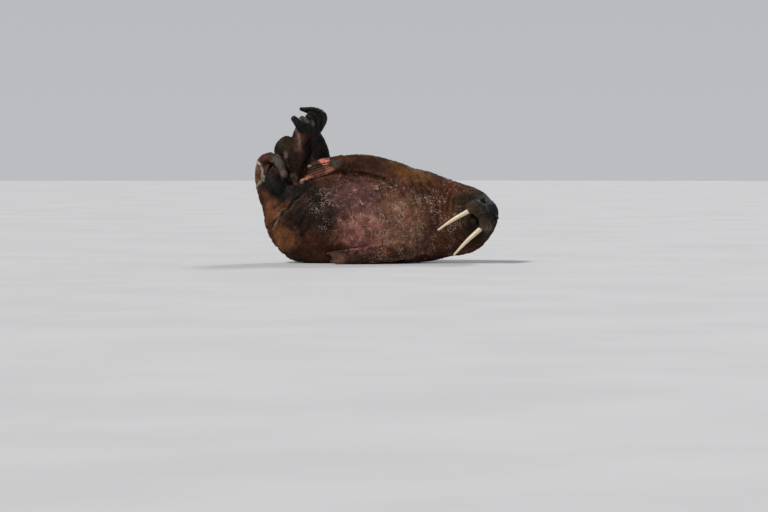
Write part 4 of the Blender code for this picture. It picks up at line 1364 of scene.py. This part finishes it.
def make_eyes():
    """Eyeballs with a clear bulge over the iris, looking out, forward and a little down."""
    wet = eye_material()
    for side, name in ((-1, "right_eye"), (1, "left_eye")):
        look = unit(HEAD_AXES[2] * side + 0.55 * HEAD_AXES[0] + 0.1 * HEAD_AXES[1])
        polar = np.arange(1, 20) * math.pi / 20
        out = np.cos(polar)
        radius = (EYE_RADIUS - EYE_GAP) * (1 + EYE_BULGE * smooth_step(0.74, 0.95, out))
        path = EYES[side] + look * (radius * out)[:, None]
        mesh = closed_tube(name + "_ball", "out", out, path, radius * np.sin(polar), 32)
        ball = linked(name + "_ball", mesh, wet)
        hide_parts(name)


def joined_tubes(name, tubes, material):
    """Many small tapered tubes in one mesh."""
    points, quads, count = [], [], 0
    for tube_points, tube_quads in tubes:
        points.append(tube_points)
        quads.append(tube_quads + count)
        count += len(tube_points)
    mesh = mesh_from(name, np.concatenate(points), np.concatenate(quads).tolist())
    return linked(name, mesh, material)


def horn_material(name, noise, high, smooth, specular, pale, dark):
    """Bristles and nails."""
    m = Nodes(bpy.data.materials.new(name))
    tint = m.noise(*noise)
    colour = m.mix(m.ramp(tint, 0.35, high), pale, dark)
    rough = m.ramp(tint, 0.3, 0.7, smooth, 0.45)
    return m.finish(Base_Color=colour, Roughness=rough, Specular_IOR_Level=specular)


def make_whiskers():
    """Rows of stiff bristles on both pads, longest towards the corners of the mouth."""
    bristles = []
    per_side = WHISKERS // 2
    for side in (-1, 1):
        for i in range(per_side):
            spread = math.sqrt((i + 0.5) / per_side) + rng.normal(0, 0.03)
            angle = i * GOLDEN_ANGLE + rng.normal(0, 0.10)
            u = WHISKER_PAD[0] * spread * math.cos(angle)
            v = WHISKER_PAD[1] * spread * math.sin(angle)
            start = placed(on_head(0.34, -0.018 + v, side * (0.098 + u)))
            root = march(field, start, -HEAD_AXES[0], 0.25, 0.0015)
            if root is None:
                continue
            centre = placed(on_head(0.130, -0.012, 0.080 * side))
            out = unit(root - centre) + 0.15 * HEAD_AXES[0] - 0.60 * HEAD_AXES[1]
            out = unit(out + rng.normal(0, 0.13, 3))
            length = 0.016 + 0.026 * smooth_step(-0.03, 0.08, np.array(u)) * (0.7 + 0.5 * rng.random())
            length *= 0.75 + 0.4 * rng.random()
            droop = unit(-HEAD_AXES[1] + 0.5 * side * HEAD_AXES[2])
            t = np.linspace(0, 1, 5)[:, None]
            path = root - out * 0.003 + out * length * t + droop * length * 0.22 * t**2
            path[:, 2] = np.maximum(path[:, 2], 0.002)
            bristles.append(swept(path, WHISKER_RADIUS * (1 - 0.75 * t[:, 0]), 5))
    tones = (0.24, 0.17, 0.10), (0.10, 0.065, 0.038)
    horn = horn_material("bristle", (220, 2), 0.65, 0.32, 0.45, *tones)
    joined_tubes("whiskers", bristles, horn)


def make_nails():
    """Small claws set back from the toes' ends: largest on the middle toes behind, tiny in front."""
    claws = []
    for each in (RIGHT_FOOT, LEFT_FOOT, RIGHT_HAND, LEFT_HAND):
        for toe in range(TOES):
            rows, along, middle = ruled(each, toe / (TOES - 1))
            rows = cut_short(rows, along, 1 - each.short * middle)
            at = placed(rows[-2, :3] * 0.45 + rows[-1, :3] * 0.55)
            way = unit(rows[-1, :3] - rows[-2, :3])
            up = unit(np.asarray(each.nail_side) - way * np.dot(each.nail_side, way))
            root = march(field, at + up * 0.09, -up, 0.12, 0.0015)
            if root is None:
                continue
            long = each.nail * (1.0 if 0 < toe < TOES - 1 else 0.6)
            t = np.linspace(0, 1, 6)[:, None]
            path = root - up * 0.002 + way * long * (t - 0.25) + up * long * (0.35 * t - 0.45 * t**2)
            radius = long * 0.24 * (1 - t[:, 0] ** 1.5 * 0.9)
            claws.append(swept(path, radius, 8, 0.7))
    tones = (0.10, 0.075, 0.055), (0.035, 0.026, 0.020)
    horn = horn_material("nail", (120, 3, 0.5), 0.7, 0.30, 0.5, *tones)
    joined_tubes("nails", claws, horn)


# Stage

def make_stage():
    """A pale floor, soft light from the upper left and a camera far off, nearly level."""
    parts = 24
    turn = np.arange(parts) * 2 * math.pi / parts
    rim = FLOOR_RADIUS * np.stack([np.cos(turn), np.sin(turn), 0 * turn], 1)
    mesh = mesh_from("floor", rim, [list(range(parts))])
    m = Nodes(bpy.data.materials.new("floor"))
    mottle = m.ramp(m.noise(0.6, 3), 0.3, 0.7)
    pale = m.mix(mottle, (0.60, 0.60, 0.61), (0.64, 0.64, 0.65))
    mesh.materials.append(m.finish(Base_Color=pale, Roughness=0.85))
    floor = in_scene("floor", mesh)
    floor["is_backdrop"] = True

    m = Nodes(bpy.data.worlds.new("studio"), "Background")
    high = m.add("SeparateXYZ", {0: m.place("Generated")}, "Z")
    fade = m.ramp(high, 0, 0.9, kind="LINEAR")
    bpy.context.scene.world = m.finish(Color=m.mix(fade, (0.50, 0.51, 0.53), (0.13, 0.14, 0.16)))

    for name, way, energy, angle, tint in (
        ("key", (0.46, 0.60, -0.74), 2.5, 9, (1.0, 0.97, 0.92)),
        ("rim", (-0.35, -0.75, -0.60), 1.0, 12, (0.94, 0.96, 1.0)),
    ):
        data = bpy.data.lights.new(name, "SUN")
        data.energy = energy
        data.angle = math.radians(angle)
        data.color = tint
        lamp = in_scene(name, data)
        lamp.rotation_mode = "QUATERNION"
        lamp.rotation_quaternion = Vector(way).to_track_quat("-Z", "Y")

    pixels_per_metre = PIXELS_PER_UNIT / SIZE
    data = bpy.data.cameras.new("camera")
    data.sensor_width = 36.0
    data.lens = pixels_per_metre * CAMERA_DISTANCE / PHOTO_WIDTH * data.sensor_width
    data.clip_end = 400
    camera = in_scene("camera", data)
    x = placed(((PHOTO_WIDTH / 2 - BODY_MIDDLE) / PIXELS_PER_UNIT, 0, 0))[0]
    camera.location = (x, -CAMERA_DISTANCE, (FLOOR_LINE - HORIZON) / pixels_per_metre)
    down = math.atan((PHOTO_HEIGHT / 2 - HORIZON) / (pixels_per_metre * CAMERA_DISTANCE))
    camera.rotation_euler = (math.pi / 2 - down, 0, 0)
    bpy.context.scene.camera = camera
    bpy.context.scene.view_settings.view_transform = "Standard"


FLESH_NODES = [
    "head", "muzzle", "chin", "neck", "chest", "belly", "rump", "tail",
    "right_arm", "right_foreflipper", "left_arm", "left_foreflipper",
    "right_hind_leg", "right_hind_flipper", "left_hind_leg", "left_hind_flipper",
]

skin, *surface = make_skin()
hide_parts(*FLESH_NODES)
make_coat(*surface)
make_tusks()
make_eyes()
make_whiskers()
make_nails()
make_stage()

boxes = {"cad": cad_box, "visual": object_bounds()}
{name: [list(corner) for corner in box] for name, box in boxes.items()}
